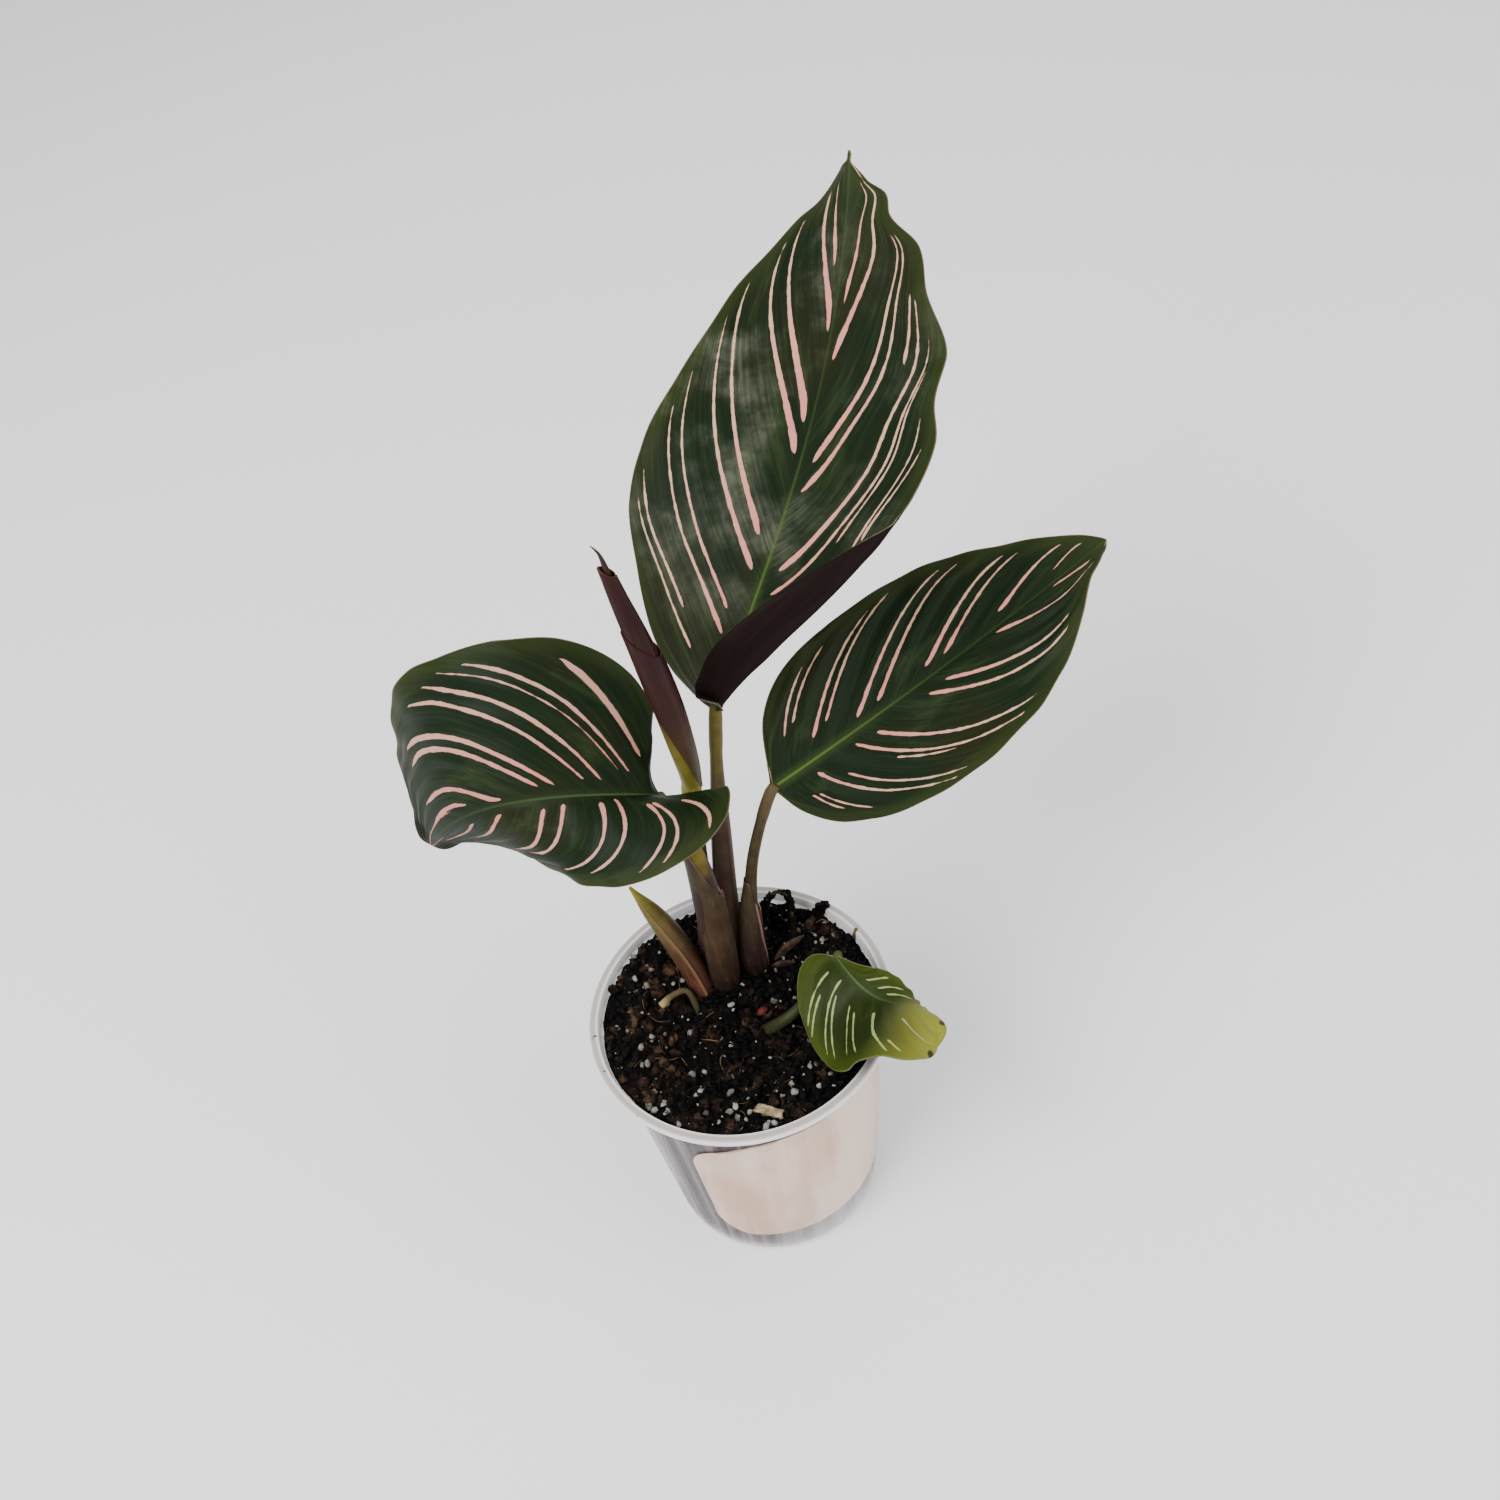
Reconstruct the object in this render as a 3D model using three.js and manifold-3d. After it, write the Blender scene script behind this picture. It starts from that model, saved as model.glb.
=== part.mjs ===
// A young pinstripe calathea in its 6 cm nursery pot, millimetres, +Z up.
// The origin is the middle of the pot's underside; +X is right and +Y is away from the viewer.

import * as THREE from 'three';
import { mergeVertices } from 'three/addons/utils/BufferGeometryUtils.js';
import Module from 'manifold-3d';

const wasm = await Module();
wasm.setup();

// Driving dimensions

const GAP = 0.3;

const POT = {
  height: 59,
  bottomRadius: 22,
  shoulderRadius: 27,
  lipRadius: 30,
  lipThickness: 1.4,
  wall: 1,
  floor: 1.2,
  cornerRadius: 3,
  sides: 44,
  holeCount: 5,
  holeRadius: 2,
  holeRing: 12,
};

const LABEL = {
  thickness: 0.5,
  bottom: 10,
  top: 54,
  middleAngle: -70,
  halfAngle: 59,
  cornerShare: 0.42,
  rows: 8,
  columns: 16,
};

const MIX = {
  level: 54.6,
  moundHeight: 1.6,
  moundRadius: 11,
  rings: 9,
  sides: 32,
  crumbs: 52,
  crumbSize: [0.9, 1.8],
  seed: 11,
};

const RHIZOME = {
  centre: [-0.6, 9, 41],
  radii: [9.5, 7, 4.5],
  rootCount: 6,
  rootRadius: 1.1,
  rootSpread: 17,
  rootDepth: 27,
};

const BLADE = {
  thickness: 0.7,
  keel: 0.5,
  endHalfWidth: 1.2,
  flatBase: 0.07,
  flatTip: 0.06,
  steps: 4,
};

// Each blade: the four points of its midrib, which way its upper face looks at the base and at
// the tip, and for each half its width, how fast it widens and narrows, and, at the base, the
// middle and the tip, how far its veins sweep forward, how far it lifts from the midrib and how
// much it curls towards its margin (radians). A fold turns a basal lobe back over the midrib: its
// crease starts that share of the way out at the base, and reaches the margin where it ends.
const BLADES = {
  tall_leaf_blade: {
    midrib: [[7, 18.4, 120.5], [22.9, 36.7, 138.7], [42.5, 69.8, 148.6], [50.9, 93.8, 179.6]],
    faceAtBase: [-0.76, -0.07, 0.65],
    faceAtTip: [-0.33, -0.46, 0.83],
    left: {
      width: 29.6, widening: 0.52, narrowing: 0.87,
      sweep: [0.03, 0.37, 0.89], lift: [0.16, 0.55, -0.66], curl: [-0.11, -0.06, -0.33],
      ruffle: { share: 0.01, waves: 5, phase: 0.2 },
    },
    right: {
      width: 27, widening: 0.53, narrowing: 0.87,
      sweep: [0.14, 0.53, 0.22], lift: [-0.09, -0.47, -0.13], curl: [-0.18, 0.33, -0.35],
      fold: { angle: 2.47, startsOut: 0.15, endsAt: 0.34, within: 0.47 },
      ruffle: { share: 0.018, waves: 6, phase: 0.1 },
    },
    rows: 28,
    columns: 9,
  },
  right_leaf_blade: {
    midrib: [[14.7, 12, 105], [31.5, 20.8, 106], [58, 35.4, 107.8], [84.7, 43.3, 120]],
    faceAtBase: [0.23, -0.79, 0.57],
    faceAtTip: [-0.2, -0.03, 0.98],
    left: {
      width: 21.9, widening: 0.49, narrowing: 0.79,
      sweep: [0.15, 0.47, 0.4], lift: [-0.1, 0.14, 0.15], curl: [-0.1, -0.18, 0],
      ruffle: { share: 0.008, waves: 5, phase: 0.4 },
    },
    right: {
      width: 20.3, widening: 0.46, narrowing: 0.83,
      sweep: [0.18, 0.53, 0.24], lift: [0, -0.09, 0.4], curl: [-0.04, -0.29, 0.14],
      ruffle: { share: 0.012, waves: 4, phase: 0.6 },
    },
    rows: 20,
    columns: 7,
  },
  left_leaf_blade: {
    midrib: [[-5.6, 13.4, 107.2], [-23.3, 8, 119], [-40, 10, 119.4], [-50.9, 24.7, 94.5]],
    faceAtBase: [-0.27, 0, 0.96],
    faceAtTip: [-0.3, -0.92, 0.26],
    left: {
      width: 22.2, widening: 0.29, narrowing: 0.62,
      sweep: [-0.89, -0.62, 0.27], lift: [0.5, -0.26, -0.36], curl: [0.35, 0, -0.45],
      ruffle: { share: 0.012, waves: 4, phase: 0.3 },
    },
    right: {
      width: 29.9, widening: 0.45, narrowing: 0.64,
      sweep: [-0.12, 0.5, 0.39], lift: [1.13, 0.35, -0.28], curl: [-0.08, -0.33, -0.49],
      ruffle: { share: 0.012, waves: 4, phase: 0.1 },
    },
    rows: 24,
    columns: 8,
  },
  small_leaf_blade: {
    midrib: [[20.1, -1.1, 69.5], [26.3, -7.8, 57.4], [26.8, -12.3, 72.3], [36.9, -17.5, 65.2]],
    faceAtBase: [-0.53, -0.68, 0.5],
    faceAtTip: [0.6, 0.44, 0.66],
    left: {
      width: 5.8, widening: 0.49, narrowing: 0.61,
      sweep: [0.16, 0.15, 0.2], lift: [0.22, -0.1, 0.2], curl: [-0.14, -0.47, -0.35],
    },
    right: {
      width: 16.3, widening: 0.5, narrowing: 0.54,
      sweep: [-0.84, 0.29, 0.32], lift: [0.05, 0.18, -0.46], curl: [-0.17, -0.32, -0.45],
      ruffle: { share: 0.02, waves: 3, phase: 0.5 },
    },
    rows: 16,
    columns: 6,
  },
};

// Each stem: the points of its path from the rhizome up, and its radius along the path
const STEMS = {
  tall_leaf_petiole: {
    path: [
      [0, 12.6, 50], [0.3, 13.2, 58], [1.6, 15.8, 73],
      [3.2, 17.4, 88], [5.5, 18.6, 108], [7.2, 18.1, 119.6],
    ],
    radius: [1.9, 1.9, 1.7, 1.45, 1.15, 1.05],
  },
  right_leaf_petiole: {
    path: [[4, 11.2, 50], [4.5, 11.9, 60], [7.1, 12.9, 80], [9.8, 11.4, 93], [13.9, 11.8, 104.4]],
    radius: [2, 2.1, 1.4, 1.15, 1.05],
  },
  left_leaf_petiole: {
    path: [
      [-2.5, 8.4, 50], [-2.4, 9, 56], [-2, 10.2, 75],
      [-1.8, 11.4, 88], [-3.2, 12.8, 97], [-5.2, 13.4, 106.2],
    ],
    radius: [2.2, 2.3, 2.4, 2.3, 1.2, 1.05],
  },
  small_leaf_petiole: {
    path: [
      [2.6, 3.5, 46], [3.2, -1.5, 50.5], [4.2, -3.9, 54.5], [9.5, -4, 58],
      [15.5, -1, 61], [19.8, 1.4, 65], [20.8, 0.5, 68.6],
    ],
    radius: [1.3, 1.3, 1.3, 1.1, 1, 0.9, 0.8],
  },
  furled_leaf_petiole: {
    path: [[-4.7, 13.8, 50], [-4.5, 14.2, 58], [-2.2, 16.4, 78], [-0.8, 16.8, 95], [0.2, 16, 105.4]],
    radius: [1.8, 1.8, 1.5, 1.4, 1.6],
  },
};

const FURLED = {
  path: [
    [0.3, 15.8, 105.9], [0.4, 14, 113], [-0.5, 12.5, 130],
    [-1.8, 12, 142], [-3.9, 11.9, 155.6], [-4.6, 11.9, 160.6],
  ],
  radius: [1.7, 2.3, 2.75, 2.5, 1.6, 0.8],
  overlap: 0.16,
  overlapTurn: 2.6,
  sides: 14,
  steps: 22,
};

const SHOOT = {
  path: [[-6.4, 6.6, 50], [-7.2, 7.6, 54], [-9.8, 11.2, 61], [-13, 15.4, 68.6], [-16.8, 19.8, 77]],
  radius: [2.1, 2.4, 2.5, 1.9, 0.35],
  flatness: 0.75,
};

const STUB = {
  path: [[-8.6, 3.6, 51.5], [-9, 4.6, 55.5], [-10.6, 5.6, 57.8], [-13, 5.6, 57.8], [-15.6, 5, 56.9]],
  radius: [0.6, 0.6, 0.55, 0.5, 0.4],
};

// Colours and finish of each kind of piece

const finish = (color, roughness) => new THREE.MeshStandardMaterial({ color, roughness, metalness: 0 });

// Small helpers

const vec = (p) => new THREE.Vector3(...p);
const { smoothstep, lerp } = THREE.MathUtils;

/** A value that is `base`, `mid` and `tip` at u = 0, 0.5 and 1, smooth in between. */
function along([base, mid, tip], u) {
  return base * (1 - u) * (1 - 2 * u) + mid * 4 * u * (1 - u) + tip * u * (2 * u - 1);
}

/** Repeatable random numbers from 0 to 1. */
function randomFrom(seed) {
  let state = seed;
  return () => {
    state = (state * 1664525 + 1013904223) % 4294967296;
    return state / 4294967296;
  };
}

/** The geometry with only its positions, and vertices that share a place joined. */
function welded(geometry) {
  geometry.deleteAttribute('normal');
  geometry.deleteAttribute('uv');
  return mergeVertices(geometry, 1e-4);
}

function solidOf(geometry) {
  const mesh = welded(geometry);
  return new wasm.Manifold(new wasm.Mesh({
    numProp: 3,
    vertProperties: new Float32Array(mesh.attributes.position.array),
    triVerts: new Uint32Array(mesh.index.array),
  }));
}

function geometryOf(solid) {
  const mesh = solid.getMesh();
  const geometry = new THREE.BufferGeometry();
  geometry.setAttribute('position', new THREE.BufferAttribute(mesh.vertProperties, 3));
  geometry.setIndex(new THREE.BufferAttribute(mesh.triVerts, 1));
  return geometry;
}

/** A closed sheet round a grid of points; rows run up it, and columns across from left to right. */
function sheetSolid(rows, thickness, keelAt = () => 0) {
  const last = rows.length - 1;
  const wide = rows[0].length - 1;
  const upper = [];
  const lower = [];
  rows.forEach((row, i) => row.forEach((point, j) => {
    const up = rows[Math.min(i + 1, last)][j].clone().sub(rows[Math.max(i - 1, 0)][j]);
    const across = row[Math.min(j + 1, wide)].clone().sub(row[Math.max(j - 1, 0)]);
    const normal = across.cross(up).normalize();
    upper.push(point.clone().addScaledVector(normal, thickness / 2));
    lower.push(point.clone().addScaledVector(normal, -thickness / 2 - keelAt(i, j)));
  }));
  const points = [...upper, ...lower];
  const below = upper.length;
  const at = (i, j) => i * (wide + 1) + j;
  const index = [];
  const quad = (a, b, c, d) => index.push(a, b, c, a, c, d);
  for (let i = 0; i < last; i += 1) {
    for (let j = 0; j < wide; j += 1) {
      quad(at(i, j), at(i, j + 1), at(i + 1, j + 1), at(i + 1, j));
      const [a, b, c, d] = [at(i, j), at(i, j + 1), at(i + 1, j + 1), at(i + 1, j)].map((k) => k + below);
      index.push(a, c, b, a, d, c);
    }
    quad(at(i, wide), at(i, wide) + below, at(i + 1, wide) + below, at(i + 1, wide));
    quad(at(i + 1, 0), at(i + 1, 0) + below, at(i, 0) + below, at(i, 0));
  }
  for (let j = 0; j < wide; j += 1) {
    quad(at(0, j), at(0, j) + below, at(0, j + 1) + below, at(0, j + 1));
    quad(at(last, j + 1), at(last, j + 1) + below, at(last, j) + below, at(last, j));
  }
  const geometry = new THREE.BufferGeometry();
  geometry.setAttribute('position', new THREE.Float32BufferAttribute(points.flatMap((p) => p.toArray()), 3));
  geometry.setIndex(index);
  return geometry;
}

/** A round bar bent along a path: a cylinder whose rings are moved to the path and sized. */
function bentBar({ path, radius, sides = 8, steps = 14, grow = 0, shape = () => 1 }) {
  const curve = new THREE.CatmullRomCurve3(path.map(vec), false, 'centripetal');
  const frames = curve.computeFrenetFrames(steps, false);
  const radii = new THREE.SplineCurve(radius.map((r, i) => new THREE.Vector2(i / (radius.length - 1), r)));
  const geometry = new THREE.CylinderGeometry(1, 1, 1, sides, steps);
  const position = geometry.attributes.position;
  for (let k = 0; k < position.count; k += 1) {
    const step = Math.round((position.getY(k) + 0.5) * steps);
    const t = step / steps;
    const [x, z] = [position.getX(k), position.getZ(k)];
    const size = (radii.getPoint(t).y + grow) * shape(Math.atan2(z, x), t);
    const stretch = grow * (2 * t - 1);
    const point = curve.getPointAt(t)
      .addScaledVector(frames.normals[step], x * size)
      .addScaledVector(frames.binormals[step], -z * size)
      .addScaledVector(frames.tangents[step], step === 0 || step === steps ? stretch : 0);
    position.setXYZ(k, point.x, point.y, point.z);
  }
  return welded(geometry);
}

/** A turned solid about the Z axis from [radius, height] points. */
function turned(profile, sides) {
  const points = profile.map(([r, z]) => new THREE.Vector2(r, z));
  return new THREE.LatheGeometry(points, sides).rotateX(Math.PI / 2);
}

// The pot

const wallRadiusAt = (z) => lerp(POT.bottomRadius, POT.shoulderRadius, z / POT.height);

function potSolid() {
  const { height, cornerRadius: corner, wall, floor, lipRadius, lipThickness } = POT;
  const corners = [0, 1, 2, 3].map((k) => {
    const angle = (k / 3) * (Math.PI / 2);
    return [
      wallRadiusAt(corner) - corner + corner * Math.sin(angle),
      corner - corner * Math.cos(angle),
    ];
  });
  const under = height - lipThickness;
  const profile = [
    [0, 0],
    ...corners,
    [wallRadiusAt(height * 0.5), height * 0.5],
    [wallRadiusAt(under) - 0.2, under - 0.8],
    [wallRadiusAt(under) + 0.5, under],
    [lipRadius - 0.7, under - 0.3],
    [lipRadius, under + 0.1],
    [lipRadius, height - 0.5],
    [lipRadius - 0.7, height],
    [wallRadiusAt(height) - wall + 0.5, height],
    [wallRadiusAt(height) - wall - 0.1, height - 0.8],
    [wallRadiusAt(height * 0.5) - wall, height * 0.5],
    [wallRadiusAt(corner) - wall, corner],
    [wallRadiusAt(corner) - corner * 0.75, floor],
    [0, floor],
  ];
  let pot = solidOf(turned(profile, POT.sides));
  for (let k = 0; k < POT.holeCount; k += 1) {
    const angle = (k / POT.holeCount) * 2 * Math.PI;
    const drill = new THREE.CylinderGeometry(POT.holeRadius, POT.holeRadius, 6, 12).rotateX(Math.PI / 2);
    drill.translate(POT.holeRing * Math.cos(angle), POT.holeRing * Math.sin(angle), 0);
    pot = pot.subtract(solidOf(drill));
  }
  return geometryOf(pot);
}

// The blank label that wraps the wall

function labelSolid() {
  const { rows, columns, bottom, top, halfAngle, middleAngle, cornerShare, thickness } = LABEL;
  const half = (top - bottom) / 2;
  const grid = [];
  for (let i = 0; i <= rows; i += 1) {
    const v = -Math.cos((i / rows) * Math.PI);
    const inCorner = Math.max(0, Math.abs(v) - (1 - cornerShare)) / cornerShare;
    const narrowing = cornerShare * 0.8 * (1 - Math.sqrt(1 - Math.min(inCorner, 0.995) ** 2));
    const z = bottom + half + half * v;
    const row = [];
    for (let j = 0; j <= columns; j += 1) {
      const across = ((j / columns) * 2 - 1) * (1 - narrowing);
      const angle = THREE.MathUtils.degToRad(middleAngle + halfAngle * across);
      const r = wallRadiusAt(z) + GAP + thickness / 2;
      row.push(new THREE.Vector3(r * Math.cos(angle), r * Math.sin(angle), z));
    }
    grid.push(row);
  }
  return sheetSolid(grid, thickness);
}

// The leaf blades

function halfWidthAt(side, u) {
  const peak = side.widening / (side.widening + side.narrowing);
  const rise = (u / peak) ** side.widening;
  const fall = ((1 - u) / (1 - peak)) ** side.narrowing;
  const { share = 0, waves = 0, phase = 0 } = side.ruffle ?? {};
  const ruffle = 1 + share * Math.sin(2 * Math.PI * (waves * u + phase));
  return Math.max(BLADE.endHalfWidth, side.width * rise * fall * ruffle);
}

/** Points across one half of a blade at u, as [out, up] from the midrib to the margin. */
function crossSection(side, u, columns) {
  const pieces = (columns - 1) * BLADE.steps;
  const step = halfWidthAt(side, u) / pieces;
  const flat = smoothstep(u, 0, BLADE.flatBase) * smoothstep(1 - u, 0, BLADE.flatTip);
  const points = [[0, 0]];
  let [out, up] = [0, 0];
  for (let k = 1; k <= pieces; k += 1) {
    const s = (k - 0.5) / pieces;
    let angle = along(side.lift, u) + along(side.curl, u) * s;
    if (side.fold) {
      const { angle: full, startsOut, endsAt, within } = side.fold;
      const crease = startsOut + (1 - startsOut) * (u / endsAt) ** 1.3;
      angle += full * smoothstep(s, crease, crease + within);
    }
    out += step * Math.cos(angle * flat);
    up += step * Math.sin(angle * flat);
    if (k % BLADE.steps === 0) points.push([out, up]);
  }
  return points;
}

/** The grid of points of a blade, from its base to its tip and from its left to its right margin. */
function bladeGrid(blade) {
  const midrib = new THREE.CubicBezierCurve3(...blade.midrib.map(vec));
  const [faceAtBase, faceAtTip] = [vec(blade.faceAtBase).normalize(), vec(blade.faceAtTip).normalize()];
  const grid = [];
  for (let i = 0; i <= blade.rows; i += 1) {
    const even = i / blade.rows;
    const u = lerp(even, (1 - Math.cos(Math.PI * even)) / 2, 0.6);
    const tangent = midrib.getTangent(u);
    const face = faceAtBase.clone().lerp(faceAtTip, u);
    face.addScaledVector(tangent, -face.dot(tangent)).normalize();
    const across = tangent.clone().cross(face);
    const half = (side, sign) => crossSection(side, u, blade.columns).map(([out, up]) => {
      const sweep = along(side.sweep, u);
      return midrib.getPoint(u)
        .addScaledVector(across, sign * out * Math.cos(sweep))
        .addScaledVector(tangent, out * Math.sin(sweep))
        .addScaledVector(face, up);
    });
    grid.push([...half(blade.left, -1).reverse(), ...half(blade.right, 1).slice(1)]);
  }
  return grid;
}

function bladeSolid(blade) {
  const middle = blade.columns - 1;
  const keelAt = (i, j) => (j === middle ? BLADE.keel * (1 - i / blade.rows) : 0);
  return sheetSolid(bladeGrid(blade), BLADE.thickness, keelAt);
}

// The rolled new leaf, with the margin of its roll as a step round it

function furledLeafSolid() {
  const turn = 2 * Math.PI;
  const step = turn / FURLED.sides;
  const shape = (angle, t) => {
    const round = (((angle + FURLED.overlapTurn + t) % turn) + turn) % turn;
    const rise = round / (turn - step);
    return 1 + FURLED.overlap * (rise <= 1 ? rise : (turn - round) / step);
  };
  return bentBar({ ...FURLED, shape });
}

// The potting mix

function reliefAt(x, y) {
  const mound = MIX.moundHeight * Math.exp(-((x * x + (y - 8) ** 2) / MIX.moundRadius ** 2));
  const waves = Math.sin(x * 0.55 + 1) * Math.cos(y * 0.48)
    + 0.7 * Math.sin(x * 1.15 - y * 0.8)
    + 0.5 * Math.cos(x * 0.7 + y * 1.4);
  return MIX.level + mound + 0.5 * waves;
}

function potFilling() {
  const inside = (z) => wallRadiusAt(z) - POT.wall - GAP;
  const edge = inside(MIX.level);
  const bottom = POT.floor + GAP;
  const profile = [
    [0, bottom],
    [inside(POT.cornerRadius) - 1.8, bottom],
    [inside(POT.cornerRadius + 1) - 0.2, POT.cornerRadius + 1],
    [inside(POT.height * 0.5), POT.height * 0.5],
    [edge, MIX.level - 1],
  ];
  for (let k = 0; k <= MIX.rings; k += 1) {
    profile.push([edge * (1 - k / MIX.rings) * (k === 0 ? 0.995 : 0.985), MIX.level]);
  }
  profile.at(-1)[0] = 0;
  const geometry = turned(profile, MIX.sides);
  const position = geometry.attributes.position;
  for (let k = 0; k < position.count; k += 1) {
    const [x, y, z] = [position.getX(k), position.getY(k), position.getZ(k)];
    if (Math.abs(z - MIX.level) < 0.01) position.setZ(k, reliefAt(x, y));
  }
  return { solid: solidOf(geometry), edge };
}

/** Crumbs of bark and perlite, a chip of wood and two dry stalks that stand out of the mix. */
function looseBits(edge) {
  const random = randomFrom(MIX.seed);
  const bits = [];
  for (let k = 0; k < MIX.crumbs; k += 1) {
    const size = lerp(...MIX.crumbSize, random() ** 2);
    const r = (edge - size - 0.4) * Math.sqrt(random());
    const angle = random() * 2 * Math.PI;
    const [x, y] = [r * Math.cos(angle), r * Math.sin(angle)];
    const crumb = new THREE.IcosahedronGeometry(size, 0);
    crumb.scale(1, 0.7 + 0.3 * random(), 0.65).rotateZ(random() * 3).rotateX(random() - 0.5);
    crumb.translate(x, y, reliefAt(x, y) + size * 0.15);
    bits.push(crumb);
  }
  const [chipX, chipY] = [1.6, -21.4];
  const chip = new THREE.BoxGeometry(6.4, 1.8, 1.2).rotateZ(-0.5);
  chip.translate(chipX, chipY, reliefAt(chipX, chipY) + 0.2);
  const stalks = [
    { path: [[12.2, 17.4, 52], [12.8, 18.8, 57.5], [13.9, 21.4, 62]], radius: [0.6, 0.6, 0.45] },
    { path: [[24.4, 11.6, 53], [24.6, 11.8, 56], [25.6, 12.4, 59.4]], radius: [0.5, 0.45, 0.35] },
  ];
  return [...bits, chip, ...stalks.map((stalk) => bentBar({ ...stalk, sides: 5, steps: 4 }))];
}

// The rhizome with its roots, grown by `grow` where the mix is hollowed round it

function rhizomeSolid(grow = 0) {
  const { centre, radii, rootCount, rootRadius, rootSpread, rootDepth } = RHIZOME;
  const body = new THREE.SphereGeometry(1, 14, 9).rotateX(Math.PI / 2);
  body.scale(...radii.map((r) => r + grow)).translate(...centre);
  let solid = solidOf(body);
  for (let k = 0; k < rootCount; k += 1) {
    const angle = ((k + 0.5) / rootCount) * 2 * Math.PI;
    const [cos, sin] = [Math.cos(angle), Math.sin(angle)];
    const [x, y, z] = centre;
    const drop = rootDepth * (0.8 + 0.2 * Math.sin(k * 2.3));
    const spread = rootSpread * (0.75 + 0.25 * Math.cos(k * 1.7));
    const root = {
      path: [
        [x + 3 * cos, y + 2.5 * sin, z],
        [x + (3 + spread * 0.6) * cos, (y + 2.5 * sin) * 0.6 + spread * 0.35 * sin, z - drop * 0.35],
        [spread * cos, spread * sin, z - drop],
      ],
      radius: [rootRadius, rootRadius * 0.9, rootRadius * 0.5],
    };
    solid = solid.add(solidOf(bentBar({ ...root, sides: 6, steps: 7, grow })));
  }
  return solid;
}

/** The height of the rhizome's top over a point, or of its middle outside it. */
function rhizomeTopAt(x, y) {
  const { centre, radii } = RHIZOME;
  const fromMiddle = ((x - centre[0]) / radii[0]) ** 2 + ((y - centre[1]) / radii[1]) ** 2;
  return centre[2] + radii[2] * Math.sqrt(Math.max(0, 1 - fromMiddle));
}

/** The stem with its foot set down just clear of the rhizome. */
function seated(stem) {
  const [[x, y], ...rest] = stem.path;
  const reach = stem.radius[0] * 1.1;
  const round = [0, 1, 2, 3, 4, 5, 6, 7].map((k) => (k * Math.PI) / 4);
  const heights = round.map((angle) => rhizomeTopAt(x + reach * Math.cos(angle), y + reach * Math.sin(angle)));
  return { ...stem, path: [[x, y, Math.max(...heights) + GAP], ...rest] };
}

// Putting the plant together

const flattened = (share) => (angle) => 1 - (1 - share) * Math.abs(Math.sin(angle));

const shootBar = seated({ ...SHOOT, steps: 12, shape: flattened(SHOOT.flatness) });
const stemBars = Object.fromEntries(Object.entries(STEMS).map(([name, stem]) => [name, seated(stem)]));

function mixSolid() {
  const { solid: filling, edge } = potFilling();
  let mix = filling;
  for (const bit of looseBits(edge)) mix = mix.add(solidOf(bit));
  mix = mix.subtract(rhizomeSolid(GAP));
  for (const bar of [...Object.values(stemBars), shootBar, STUB]) {
    mix = mix.subtract(solidOf(bentBar({ ...bar, grow: GAP })));
  }
  const largest = mix.decompose().reduce((best, piece) => (piece.volume() > best.volume() ? piece : best));
  return geometryOf(largest);
}

const leafGreen = finish(0x2c4a2c, 0.5);
const stemPurple = finish(0x4a3236, 0.55);

const PIECES = [
  ['pot', potSolid(), finish(0xdcdce4, 0.3)],
  ['pot_label', labelSolid(), finish(0xefeadf, 0.6)],
  ['potting_mix', mixSolid(), finish(0x2b211c, 0.95)],
  ['rhizome', geometryOf(rhizomeSolid()), finish(0xb9a184, 0.8)],
  ...Object.entries(BLADES).map(([name, blade]) => [name, bladeSolid(blade), leafGreen.clone()]),
  ...Object.entries(stemBars).map(([name, bar]) => [name, bentBar(bar), stemPurple.clone()]),
  ['furled_leaf', furledLeafSolid(), finish(0x5a2c33, 0.45)],
  ['young_shoot', bentBar(shootBar), finish(0x7a5a3c, 0.5)],
  ['old_stub', bentBar({ ...STUB, sides: 6, steps: 8 }), finish(0xa9a15f, 0.6)],
];

const group = new THREE.Group();
for (const [name, geometry, material] of PIECES) {
  geometry.computeVertexNormals();
  const mesh = new THREE.Mesh(geometry, material);
  mesh.name = name;
  group.add(mesh);
}

export default group;
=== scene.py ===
"""A young pinstripe calathea in its clear nursery pot: the looks, built round the CAD frame.

Sizes are in millimetres, and MM turns them into the metres of the meshes.
"""

from __future__ import annotations

import logging
import math
import random
from dataclasses import dataclass, replace
from enum import Enum
from functools import reduce
from typing import Callable, Sequence, Union

import bmesh
import bpy
import numpy as np
from mathutils import Matrix, Vector, noise


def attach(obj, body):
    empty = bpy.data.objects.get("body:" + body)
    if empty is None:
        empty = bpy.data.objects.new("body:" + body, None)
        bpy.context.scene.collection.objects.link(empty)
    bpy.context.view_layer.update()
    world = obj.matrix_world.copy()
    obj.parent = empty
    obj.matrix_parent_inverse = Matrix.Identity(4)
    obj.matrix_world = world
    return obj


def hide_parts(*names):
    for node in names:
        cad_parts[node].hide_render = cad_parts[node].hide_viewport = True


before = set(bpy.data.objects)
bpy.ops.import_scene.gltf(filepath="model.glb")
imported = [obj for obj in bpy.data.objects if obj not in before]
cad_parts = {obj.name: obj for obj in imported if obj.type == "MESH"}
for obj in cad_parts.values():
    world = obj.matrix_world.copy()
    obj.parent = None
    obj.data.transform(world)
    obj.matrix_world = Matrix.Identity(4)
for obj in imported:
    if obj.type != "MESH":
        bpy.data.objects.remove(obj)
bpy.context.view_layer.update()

LOG = logging.getLogger("calathea")
MM = 0.001
TURN = 2 * math.pi
BODY = "root"

Pair = tuple[float, float]
Triple = tuple[float, float, float]
Colour = tuple[float, float, float]
Stops = tuple[tuple[float, Colour], ...]
Mesh = bmesh.types.BMesh
Piece = bpy.types.Object
Material = bpy.types.Material
Socket = bpy.types.NodeSocket
Value = Union[Socket, float, Colour]


# Small helpers


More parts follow.
